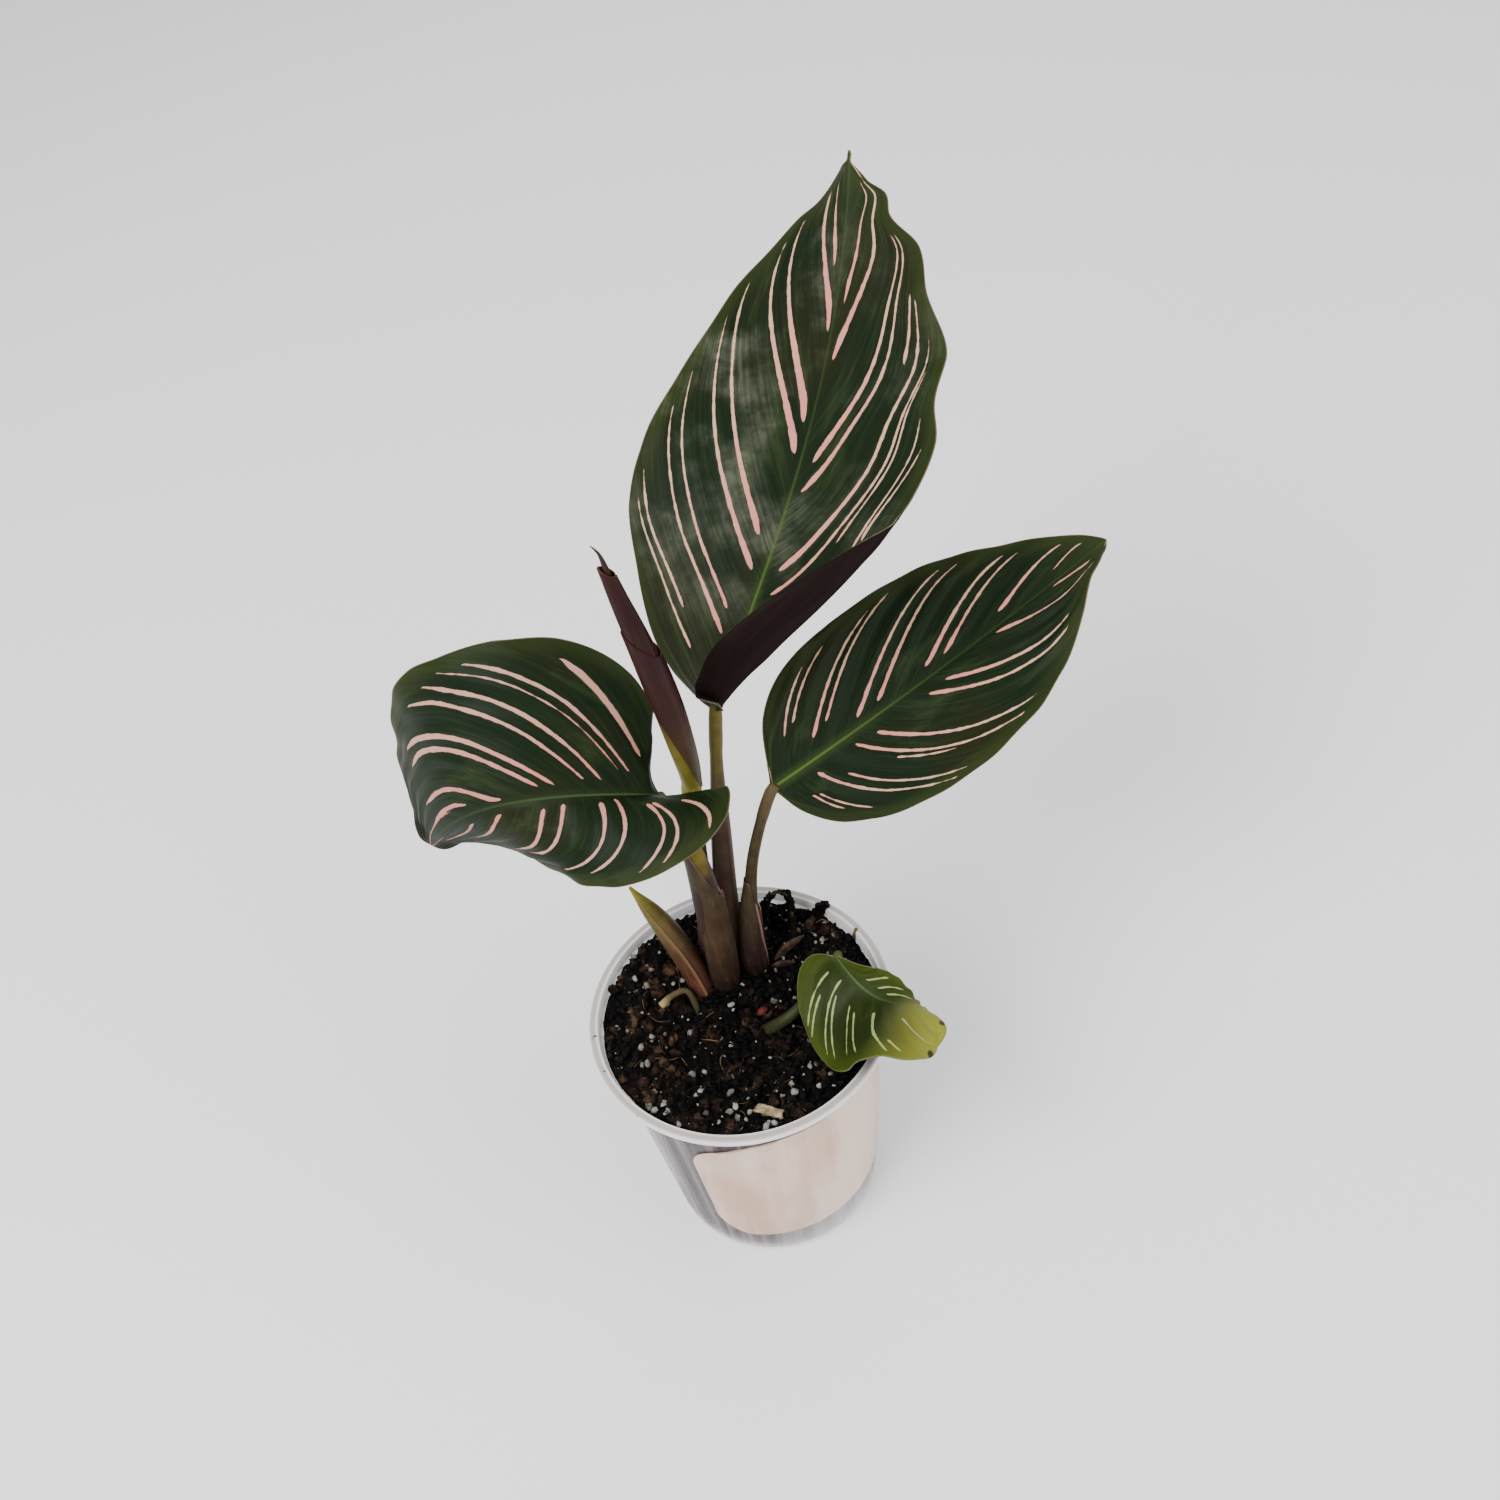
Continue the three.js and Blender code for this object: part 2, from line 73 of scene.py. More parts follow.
def srgb(*screen: int) -> Colour:
    """Turns a colour given as three screen values from 0 to 255 into linear light."""
    shares = [value / 255 for value in screen]
    return tuple(share / 12.92 if share <= 0.04045 else ((share + 0.055) / 1.055) ** 2.4 for share in shares)


def smooth(value: float | np.ndarray, low: float, high: float) -> float | np.ndarray:
    """Rises smoothly from 0 at low to 1 at high."""
    share = np.clip((value - low) / (high - low), 0, 1)
    return share * share * (3 - 2 * share)


def through(values: Triple, u: float | np.ndarray) -> float | np.ndarray:
    """Gives a value that is the three given at u = 0, 0.5 and 1, smooth in between."""
    base, middle, tip = values
    return base * (1 - u) * (1 - 2 * u) + middle * 4 * u * (1 - u) + tip * u * (2 * u - 1)


def follow(points: Sequence[Pair], u: np.ndarray) -> np.ndarray:
    """Gives a value that eases from each given place and value to the next.

    Args:
        points: the places, from 0 to 1, each with its value.
        u: the places where the value is wanted.

    Returns:
        The values there.
    """
    places, values = (np.array(part, float) for part in zip(*points))
    low = np.clip(np.searchsorted(places, u) - 1, 0, len(places) - 2)
    share = smooth((u - places[low]) / (places[low + 1] - places[low]), 0, 1)
    return values[low] + (values[low + 1] - values[low]) * share


def unit(vectors: np.ndarray) -> np.ndarray:
    """Scales vectors to length 1."""
    return vectors / np.maximum(np.linalg.norm(vectors, axis=-1, keepdims=True), 1e-9)


def as_data(mesh: Mesh, name: str) -> bpy.types.Mesh:
    """Turns a bmesh into mesh data.

    Args:
        mesh: the bmesh; it is freed.
        name: the data's name.

    Returns:
        The mesh data.
    """
    data = bpy.data.meshes.new(name)
    mesh.to_mesh(data)
    mesh.free()
    return data


def linked(name: str, data: bpy.types.ID) -> bpy.types.Object:
    """Makes an object and puts it in the scene.

    Args:
        name: the object's name.
        data: its mesh, light or camera.

    Returns:
        The new object.
    """
    made = bpy.data.objects.new(name, data)
    bpy.context.scene.collection.objects.link(made)
    return made


def finished(
    mesh: Mesh, name: str, materials: Sequence[Material], replaces: Sequence[str] = ()
) -> Piece:
    """Turns a bmesh into a smooth-shaded piece that rides on the part.

    Args:
        mesh: the bmesh, in metres and in place; it is freed.
        name: the piece's name.
        materials: its materials, in the order of their slots.
        replaces: the CAD nodes that it stands for.

    Returns:
        The new piece.
    """
    for face in mesh.faces:
        face.smooth = True
    data = as_data(mesh, name)
    for material in materials:
        data.materials.append(material)
    piece = linked(name, data)
    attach(piece, BODY)
    if replaces:
        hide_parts(*replaces)
    LOG.info("made %s with %d faces", name, len(data.polygons))
    return piece


def thicken(piece: Piece, thickness: float, under: int = 0, rim: int = 0) -> bpy.types.Modifier:
    """Gives a sheet its thickness, on the side away from its normals.

    Args:
        piece: the sheet.
        thickness: its thickness in millimetres.
        under: how many material slots further on the underside's material is.
        rim: the same for the edge.

    Returns:
        The Solidify modifier.
    """
    solidify = piece.modifiers.new("thickness", "SOLIDIFY")
    solidify.thickness = thickness * MM
    solidify.offset = -1
    solidify.material_offset = under
    solidify.material_offset_rim = rim
    return solidify


def merge(mesh: Mesh, part: Mesh) -> None:
    """Adds one bmesh to another.

    Args:
        mesh: the bmesh that grows.
        part: the bmesh that is added; it is freed.
    """
    data = as_data(part, "part")
    mesh.from_mesh(data)
    bpy.data.meshes.remove(data)


def turned(outline: Sequence[Pair], steps: int) -> Mesh:
    """Turns an outline once round the Z axis.

    Args:
        outline: each corner's distance from the axis and height, in millimetres.
        steps: how many steps the turn has.

    Returns:
        The closed bmesh, with its normals outwards.
    """
    mesh = bmesh.new()
    verts = [mesh.verts.new((r * MM, 0, z * MM)) for r, z in outline]
    edges = [mesh.edges.new(pair) for pair in zip(verts, verts[1:])]
    bmesh.ops.spin(
        mesh, geom=verts + edges, axis=(0, 0, 1), cent=(0, 0, 0), steps=steps, angle=TURN, use_merge=True
    )
    bmesh.ops.remove_doubles(mesh, verts=mesh.verts, dist=0.001 * MM)
    bmesh.ops.recalc_face_normals(mesh, faces=mesh.faces)
    return mesh


# Paths and the shapes that follow them


@dataclass(eq=False)
class Path:
    """A smooth line through a few points, with a thickness along it.

    Attributes:
        points: the points that it passes through, in millimetres.
        radii: the radius along it, evenly spaced, in millimetres.
        side: the direction that turns count from, kept as level as the path allows.
        samples: how many even steps it is divided into.
    """

    points: Sequence[Triple]
    radii: Sequence[float]
    side: Triple = (0.0, -1.0, 0.0)
    samples: int = 160

    def __post_init__(self) -> None:
        """Samples the line and its frames at even distances."""
        dense = self._spline(np.array(self.points, float))
        length = np.concatenate([[0], np.cumsum(np.linalg.norm(np.diff(dense, axis=0), axis=1))])
        even = np.linspace(0, length[-1], self.samples + 1)
        self.line = np.stack([np.interp(even, length, dense[:, k]) for k in range(3)], axis=1)
        self.tangents = unit(np.gradient(self.line, axis=0))
        side = np.array(self.side)
        sides = []
        for tangent in self.tangents:
            side = unit(side - tangent * (side @ tangent))
            sides.append(side)
        self.sides = np.array(sides)
        self.others = np.cross(self.tangents, self.sides)

    @staticmethod
    def _spline(points: np.ndarray) -> np.ndarray:
        """Draws a centripetal Catmull-Rom curve.

        Args:
            points: the points that it passes through.

        Returns:
            Closely spaced points on the curve.
        """
        dense = 40
        ends = [2 * points[0] - points[1], 2 * points[-1] - points[-2]]
        rows = np.vstack([ends[0], points, ends[1]])
        curve = []
        for k in range(1, len(rows) - 2):
            a, b, c, d = rows[k - 1 : k + 3]
            gaps = [math.sqrt(np.linalg.norm(q - p)) for p, q in ((a, b), (b, c), (c, d))]
            leave = ((b - a) / gaps[0] - (c - a) / (gaps[0] + gaps[1]) + (c - b) / gaps[1]) * gaps[1]
            arrive = ((c - b) / gaps[1] - (d - b) / (gaps[1] + gaps[2]) + (d - c) / gaps[2]) * gaps[1]
            t = np.linspace(0, 1, dense, endpoint=k == len(rows) - 3)[:, None]
            starts = (2 * t**3 - 3 * t**2 + 1) * b + (t**3 - 2 * t**2 + t) * leave
            curve.append(starts + (3 * t**2 - 2 * t**3) * c + (t**3 - t**2) * arrive)
        return np.vstack(curve)

    def radius(self, t: float) -> float:
        """Gives the radius in millimetres at a share of the length, averaged with its neighbours."""
        near = np.clip([t - 0.05, t, t, t + 0.05], 0, 1)
        return np.interp(near, np.linspace(0, 1, len(self.radii)), self.radii).mean()

    def place(self, t: float, turn: float, radius: float) -> Vector:
        """Gives the point at a share of the length, a turn round the line and a distance from it.

        Args:
            t: the share of the length, from 0 to 1.
            turn: the angle round the line, in radians.
            radius: the distance from the line, in millimetres.

        Returns:
            The point in metres.
        """
        at = min(max(t, 0), 1) * self.samples
        low = min(int(at), self.samples - 1)
        share = at - low
        middle, side, other = (
            rows[low] * (1 - share) + rows[low + 1] * share for rows in (self.line, self.sides, self.others)
        )
        out = side * math.cos(turn) + other * math.sin(turn)
        return Vector((middle + out * radius) * MM)


def bar(
    path: Path, sides: int = 20, steps: int = 60, shape: Callable[[float, float], float] = lambda turn, t: 1.0
) -> Mesh:
    """Makes a round bar along a path: a cone cut into rings that are moved to the path.

    Args:
        path: the line that it follows.
        sides: how many sides it has.
        steps: how many rings it is cut into.
        shape: what its radius is multiplied by, from the turn and the share of the length.

    Returns:
        The bar, with its share round and along as UV.
    """
    mesh = bmesh.new()
    layer = mesh.loops.layers.uv.new("along")
    bmesh.ops.create_cone(mesh, cap_ends=True, segments=sides, radius1=1, radius2=1, depth=1)
    long_edges = [edge for edge in mesh.edges if abs(edge.verts[0].co.z - edge.verts[1].co.z) > 0.5]
    bmesh.ops.subdivide_edges(mesh, edges=long_edges, cuts=steps - 1, use_grid_fill=False)
    for vert in mesh.verts:
        t = vert.co.z + 0.5
        turn = math.atan2(vert.co.y, vert.co.x)
        for loop in vert.link_loops:
            loop[layer].uv = (turn / TURN + 0.5, t)
        vert.co = path.place(t, turn, path.radius(t) * shape(turn, t))
    return mesh


@dataclass(eq=False)
class Roll:
    """A leaf or a sheath rolled round a path, with its outer margin showing.

    Attributes:
        path: the middle of the roll, with its outer radius.
        turns: how many times it is wrapped, at the base, the middle and the top.
        margin: where its outer margin lies, as turns round the path, along the length.
        tightness: the share of the radius that one wrap takes up.
        bottom: where its lower edge is, as a share of the path, and how much lower it is on the right.
        top: where its upper edge is and how much lower it is on the right.
        around: how many faces it has round.
        along: how many faces it has along.
    """

    path: Path
    turns: Triple
    margin: Sequence[float]
    tightness: float = 0.12
    bottom: Pair = (0.0, 0.0)
    top: Pair = (1.0, 0.0)
    around: int = 90
    along: int = 110

    def grid(self) -> Mesh:
        """Builds the rolled sheet from a flat grid.

        Returns:
            The sheet, with its share round and along as UV, and its normals outwards.
        """
        mesh = bmesh.new()
        layer = mesh.loops.layers.uv.new("along")
        bmesh.ops.create_grid(mesh, x_segments=self.around, y_segments=self.along, size=0.5)
        for vert in mesh.verts:
            a, b = vert.co.x + 0.5, vert.co.y + 0.5
            inwards = (1 - a) * through(self.turns, b)
            margin = np.interp(b, np.linspace(0, 1, len(self.margin)), self.margin)
            turn = TURN * (margin - inwards)
            low = self.bottom[0] - self.bottom[1] * math.sin(turn)
            high = self.top[0] - self.top[1] * math.sin(turn)
            t = min(1.0, max(0.0, low + (high - low) * b))
            for loop in vert.link_loops:
                loop[layer].uv = (a, t)
            vert.co = self.path.place(t, turn, self.path.radius(t) * (1 - self.tightness * inwards))
        bmesh.ops.recalc_face_normals(mesh, faces=mesh.faces)
        nearest = min(mesh.faces, key=lambda face: face.calc_center_median().y)
        if nearest.normal.y > 0:
            bmesh.ops.reverse_faces(mesh, faces=mesh.faces)
        return mesh

    def build(
        self, name: str, slot: str, skins: Sequence[StemFinish], thickness: float,
        replaces: Sequence[str] = (),
    ) -> None:
        """Makes the rolled sheet, with the skins of its face and of its edge."""
        piece = finished(self.grid(), name, [skin.make() for skin in skins], replaces)
        thicken(piece, thickness, rim=1)


# Shader graphs


class Graph:
    """A node tree with short ways to add and join its nodes."""

    MIX_FACTOR, MIX_A, MIX_B, MIX_RESULT = 0, 6, 7, 2

    def __init__(self, tree: bpy.types.NodeTree) -> None:
        """Takes the tree that the nodes go in."""
        self.tree = tree

    def node(self, kind: str, **settings: object) -> bpy.types.Node:
        """Adds a node.

        Args:
            kind: the node's type.
            **settings: its properties.

        Returns:
            The node.
        """
        made = self.tree.nodes.new(kind)
        for name, value in settings.items():
            setattr(made, name, value)
        return made

    def feed(self, socket: Socket, value: Value) -> None:
        """Links a socket, or sets a number or a colour, to an input.

        Args:
            socket: the input.
            value: what it gets.
        """
        if isinstance(value, Socket):
            self.tree.links.new(value, socket)
        elif isinstance(value, tuple) and len(value) == 3 and len(socket.default_value) == 4:
            socket.default_value = (*value, 1.0)
        else:
            socket.default_value = value

    def fill(self, made: bpy.types.Node, **values: Value) -> bpy.types.Node:
        """Feeds a node's inputs by their names.

        Args:
            made: the node.
            **values: what its inputs get; underscores stand for spaces.

        Returns:
            The node.
        """
        sockets = {socket.name.lower(): socket for socket in made.inputs}
        for name, value in values.items():
            self.feed(sockets[name.replace("_", " ")], value)
        return made

    def apply(self, made: bpy.types.Node, *values: Value) -> Socket:
        """Feeds a node's inputs in their order.

        Args:
            made: the node.
            *values: what its inputs get.

        Returns:
            The node's first output.
        """
        for socket, value in zip(made.inputs, values):
            self.feed(socket, value)
        return made.outputs[0]

    def math(self, operation: str, *values: Value, clamp: bool = False) -> Socket:
        """Adds a Math node and gives its output."""
        return self.apply(self.node("ShaderNodeMath", operation=operation, use_clamp=clamp), *values)

    def times(self, *values: Value) -> Socket:
        """Multiplies values."""
        return reduce(lambda product, value: self.math("MULTIPLY", product, value), values)

    def span(
        self, value: Value, low: Value, high: Value,
        out_low: Value = 0.0, out_high: Value = 1.0, eased: bool = True,
    ) -> Socket:
        """Maps a value from one range to another, clamped, and eased in and out unless told not to."""
        made = self.node("ShaderNodeMapRange", interpolation_type="SMOOTHSTEP" if eased else "LINEAR")
        return self.apply(made, value, low, high, out_low, out_high)

    def mix(self, factor: Value, low: Value, high: Value) -> Socket:
        """Mixes two colours.

        Args:
            factor: the share of the second colour.
            low: the first colour.
            high: the second colour.

        Returns:
            The mixed colour.
        """
        made = self.node("ShaderNodeMix", data_type="RGBA")
        self.feed(made.inputs[self.MIX_FACTOR], factor)
        self.feed(made.inputs[self.MIX_A], low)
        self.feed(made.inputs[self.MIX_B], high)
        return made.outputs[self.MIX_RESULT]

    def join(self, x: Value = 0.0, y: Value = 0.0, z: Value = 0.0) -> Socket:
        """Joins three numbers into a vector."""
        return self.apply(self.node("ShaderNodeCombineXYZ"), x, y, z)

    def split(self, vector: Socket) -> tuple[Socket, ...]:
        """Splits a vector into its three numbers."""
        return tuple(self.apply(self.node("ShaderNodeSeparateXYZ"), vector).node.outputs)

    def noise(self, vector: Socket, scale: float, detail: float = 3.0, rough: float = 0.55) -> Socket:
        """Adds a Noise Texture and gives its value."""
        made = self.node("ShaderNodeTexNoise")
        return self.fill(made, vector=vector, scale=scale, detail=detail, roughness=rough).outputs[0]

    def cells(self, vector: Socket, scale: float) -> Socket:
        """Adds a Voronoi Texture and gives the distance to the nearest cell's middle."""
        return self.fill(self.node("ShaderNodeTexVoronoi"), vector=vector, scale=scale).outputs["Distance"]

    def ramp(self, factor: Socket, stops: Stops) -> Socket:
        """Adds a colour ramp.

        Args:
            factor: the place on the ramp.
            stops: the places of its stops and their colours.

        Returns:
            The colour there.
        """
        made = self.node("ShaderNodeValToRGB")
        self.feed(made.inputs[0], factor)
        elements = made.color_ramp.elements
        while len(elements) < len(stops):
            elements.new(0.5)
        for element, (place, colour) in zip(elements, stops):
            element.position = place
            element.color = (*colour, 1.0)
        return made.outputs[0]

    def place(self) -> Socket:
        """Gives the Object coordinates, in metres."""
        return self.node("ShaderNodeTexCoord").outputs["Object"]

    def uv(self, name: str) -> tuple[Socket, ...]:
        """Gives the two numbers of a UV map."""
        return self.split(self.node("ShaderNodeUVMap", uv_map=name).outputs[0])[:2]

    def use(self, tree: bpy.types.NodeTree, **values: Value) -> bpy.types.NodeOutputs:
        """Places a node group with its values and gives its outputs."""
        return self.fill(self.node("ShaderNodeGroup", node_tree=tree), **values).outputs


def group(
    name: str, inputs: dict[str, float | None], outputs: Sequence[str]
) -> tuple[Graph, bpy.types.NodeOutputs, bpy.types.NodeInputs]:
    """Starts a shader node group.

    Args:
        name: the group's name.
        inputs: its number inputs with their usual values; a value of None makes a vector input.
        outputs: the names of its number outputs.

    Returns:
        Its graph, the values that come in and the sockets for those that go out.
    """
    tree = bpy.data.node_groups.new(name, "ShaderNodeTree")
    for label, usual in inputs.items():
        kind = "NodeSocketVector" if usual is None else "NodeSocketFloat"
        socket = tree.interface.new_socket(name=label, in_out="INPUT", socket_type=kind)
        if usual is not None:
            socket.default_value = usual
    for label in outputs:
        tree.interface.new_socket(name=label, in_out="OUTPUT", socket_type="NodeSocketFloat")
    graph = Graph(tree)
    return graph, graph.node("NodeGroupInput").outputs, graph.node("NodeGroupOutput").inputs


class Surface:
    """A material with one Principled shader, and the graph that feeds it."""

    def __init__(self, name: str) -> None:
        """Makes the material.

        Args:
            name: the material's name.
        """
        self.material = bpy.data.materials.new(name)
        self.material.use_nodes = True
        self.graph = Graph(self.material.node_tree)
        self.shader = self.material.node_tree.nodes["Principled BSDF"]

    def set(self, **values: Value) -> None:
        """Feeds the shader's inputs; underscores stand for spaces."""
        self.graph.fill(self.shader, **values)

    def bump(self, *heights: tuple[Socket, float]) -> None:
        """Adds relief to the shader's normal.

        Args:
            *heights: values for the height, each with its depth in millimetres.
        """
        below = {}
        for height, depth in heights:
            made = self.graph.node("ShaderNodeBump")
            self.graph.fill(made, height=height, distance=depth * MM, strength=1.0, **below)
            below = {"normal": made.outputs[0]}
        self.set(**below)


class Effects:
    """The shader groups that several finishes share."""

    def __init__(self) -> None:
        """Builds the groups."""
        self.pinstripe = self._pinstripe()
        self.tissue = self._tissue()
        self.grime = self._grime()

    @staticmethod
    def _pinstripe() -> bpy.types.NodeTree:
        """Makes one stripe along a lateral vein, round at its start and thin where it ends.

        Returns:
            The group, which gives a mask.
        """
        nose_ends, tail_starts, waver = 0.04, 0.88, 0.45
        inputs = {
            "Vein": 0.0, "Scale": 50.0, "Run": 0.0, "Wander": 0.5, "At": 0.5, "Drifts to": 0.5,
            "Starts": 0.1, "Ends": 0.9, "Width": 0.8, "End width": 0.3,
        }
        g, given, put = group("pinstripe", inputs, ["Mask"])
        t = g.span(given["Run"], given["Starts"], given["Ends"], -0.001, 1.001, eased=False)
        middle = g.span(t, 0.0, 1.0, given["At"], given["Drifts to"], eased=False)
        away = g.times(g.math("ABSOLUTE", g.math("SUBTRACT", given["Vein"], middle)), given["Scale"])
        nose = g.math("SQRT", g.span(t, 0.0, nose_ends, eased=False))
        tail = g.span(t, tail_starts, 1.0, 1.0, 0.35)
        late = g.math("SQRT", g.math("MAXIMUM", t, 0.0001))
        wide = g.span(late, 0.0, 1.0, given["Width"], given["End width"], eased=False)
        half = g.times(wide, 0.5, nose, tail)
        half = g.math("MULTIPLY_ADD", g.math("SUBTRACT", given["Wander"], 0.5), waver, half)
        edge = g.span(g.math("SUBTRACT", half, away), -0.08, 0.09)
        within = g.times(g.math("GREATER_THAN", t, 0.0), g.math("LESS_THAN", t, 1.0))
        g.feed(put["Mask"], g.times(edge, within))
        return g.tree

    @staticmethod
    def _tissue() -> bpy.types.NodeTree:
        """Makes the fine parallel veins, the cloudy patches and the grain of a leaf.

        Returns:
            The group, which gives their three values.
        """
        inputs = {"Vein": 0.0, "Across": 0.0, "Place": None}
        g, given, put = group("leaf_tissue", inputs, ["Lines", "Clouds", "Grain"])
        weave = g.join(g.times(given["Vein"], 90.0), g.times(given["Across"], 3.0))
        drift = g.join(g.times(given["Vein"], 9.0), g.times(given["Across"], 2.4), 3.0)
        g.feed(put["Lines"], g.noise(weave, 1.0, 2.0, 0.6))
        g.feed(put["Clouds"], g.noise(drift, 1.0, 4.0, 0.6))
        g.feed(put["Grain"], g.noise(given["Place"], 2600.0, 2.0, 0.5))
        return g.tree

    @staticmethod
    def _grime() -> bpy.types.NodeTree:
        """Makes the uneven staining of soil, roots and grit at two sizes.

        Returns:
            The group, which gives the coarse and the fine staining.
        """
        g, given, put = group("grime", {"Place": None}, ["Coarse", "Fine"])
        g.feed(put["Coarse"], g.noise(given["Place"], 220.0, 4.0, 0.6))
        g.feed(put["Fine"], g.noise(given["Place"], 1300.0, 3.0, 0.6))
        return g.tree


# The leaf blades


@dataclass(frozen=True)
class Stripe:
    """One pinstripe of a half blade.

    Attributes:
        at: the vein that it starts on, named by where that leaves the midrib.
        to: the vein that it ends on.
        starts: where it starts, as the share across plus how far its vein has run forward.
        ends: where it ends, counted in the same way.
        width: its width at the start in millimetres.
        end_width: its width towards the end.
    """

    at: float
    to: float
    starts: float
    ends: float
    width: float
    end_width: float = 0.32


def pinstripes(*rows: tuple[float, ...]) -> tuple[Stripe, ...]:
    """Makes pinstripes from rows of their values."""
    return tuple(Stripe(*row) for row in rows)


@dataclass(frozen=True)
class Veins:
    """How the lateral veins of a half blade leave the midrib and bend towards the tip.

    Attributes:
        lead: how far forward a vein at the base runs on its way to the margin.
        lead_rise: how much more that is at the tip.
        bend: how late a vein at the base bends forward.
        bend_fall: how much sooner one at the tip does.
        turn: how far out the veins turn to follow the margin.
        turn_fall: how much sooner they do at the tip.
    """

    lead: float
    lead_rise: float
    bend: float
    bend_fall: float
    turn: float
    turn_fall: float

    def reaches(self, vein: np.ndarray, s: np.ndarray) -> np.ndarray:
        """Gives the share along the blade that veins have reached.

        Args:
            vein: the veins, named by where they leave the midrib.
            s: the shares across the half.

        Returns:
            The shares along the blade.
        """
        lead = np.clip(self.lead + self.lead_rise * vein, 0.05, 0.95)
        bend = np.clip(self.bend - self.bend_fall * vein, 0.5, 2.8)
        turn = np.maximum(self.turn - self.turn_fall * vein, 0.12)
        return vein + (1 - vein) * (lead * s**bend + 0.3 * (s / turn) ** 6)

    def at(self, u: np.ndarray, s: np.ndarray) -> np.ndarray:
        """Finds which vein passes each point, by halving the range that it can be in.

        Args:
            u: the shares along the blade.
            s: the shares across the half.

        Returns:
            The veins.
        """
        halvings = 30
        low, high = np.full_like(u, -1.0), np.ones_like(u)
        for _ in range(halvings):
            middle = (low + high) / 2
            short = self.reaches(middle, s) < u
            low, high = np.where(short, middle, low), np.where(short, high, middle)
        return (low + high) / 2


@dataclass(frozen=True)
class Fold:
    """A basal lobe turned back over the midrib along a slanting crease.

    Attributes:
        angle: how far it is turned back, in radians.
        starts_out: the share across at which the crease starts at the base.
        ends_at: the share along the blade at which the crease reaches the margin.
        within: the share across that the bend takes.
        full_by: the share along the blade from which it is turned back in full.
    """

    angle: float
    starts_out: float
    ends_at: float
    within: float
    full_by: float

    def bend(self, u: np.ndarray, s: np.ndarray) -> np.ndarray:
        """Gives how far the half is bent, in radians, at shares along the blade and across the half."""
        crease = self.starts_out + (1 - self.starts_out) * (u[:, None] / self.ends_at) ** 1.3
        return self.angle * smooth(s, crease, crease + self.within)


@dataclass(frozen=True)
class Half:
    """One half of a blade, from its midrib to its margin.

    Attributes:
        width: its greatest width in millimetres.
        widening: how fast it widens from the base.
        narrowing: how fast it narrows to the tip.
        sweep: how far its rows lean forward at the base, the middle and the tip, in radians.
        lift: how far it lifts from the midrib at those places, in radians.
        curl: how much more it lifts at its margin.
        edge: places along it and how far its margin bulges there, in millimetres.
        veins: the course of its lateral veins.
        stripes: its pinstripes.
        fold: the crease of a lobe that is turned back, if it has one.
    """

    width: float
    widening: float
    narrowing: float
    sweep: Triple
    lift: Triple
    curl: Triple
    edge: tuple[Pair, ...]
    veins: Veins
    stripes: tuple[Stripe, ...]
    fold: Fold | None = None

    def half_width(self, u: np.ndarray) -> np.ndarray:
        """Gives the distance from midrib to margin.

        Args:
            u: the shares along the blade.

        Returns:
            The distances in millimetres.
        """
        base_end, tip_end = 0.9, 0.12
        peak = self.widening / (self.widening + self.narrowing)
        rise = (u / peak) ** self.widening
        fall = ((1 - u) / (1 - peak)) ** self.narrowing
        least = base_end + (tip_end - base_end) * u
        return np.maximum(self.width * rise * fall + follow(self.edge, u), least)

    def angles(self, u: np.ndarray, s: np.ndarray) -> np.ndarray:
        """Gives how steeply the half rises from the blade's plane.

        Args:
            u: the shares along the blade.
            s: the shares across the half.

        Returns:
            The angles in radians, a row for each share along.
        """
        angle = through(self.lift, u)[:, None] + through(self.curl, u)[:, None] * s
        full_by, tip_end = 0.045, 0.05
        if self.fold:
            angle = angle + self.fold.bend(u, s)
            full_by = self.fold.full_by
        return angle * (smooth(u, 0, full_by) * smooth(1 - u, 0, tip_end))[:, None]


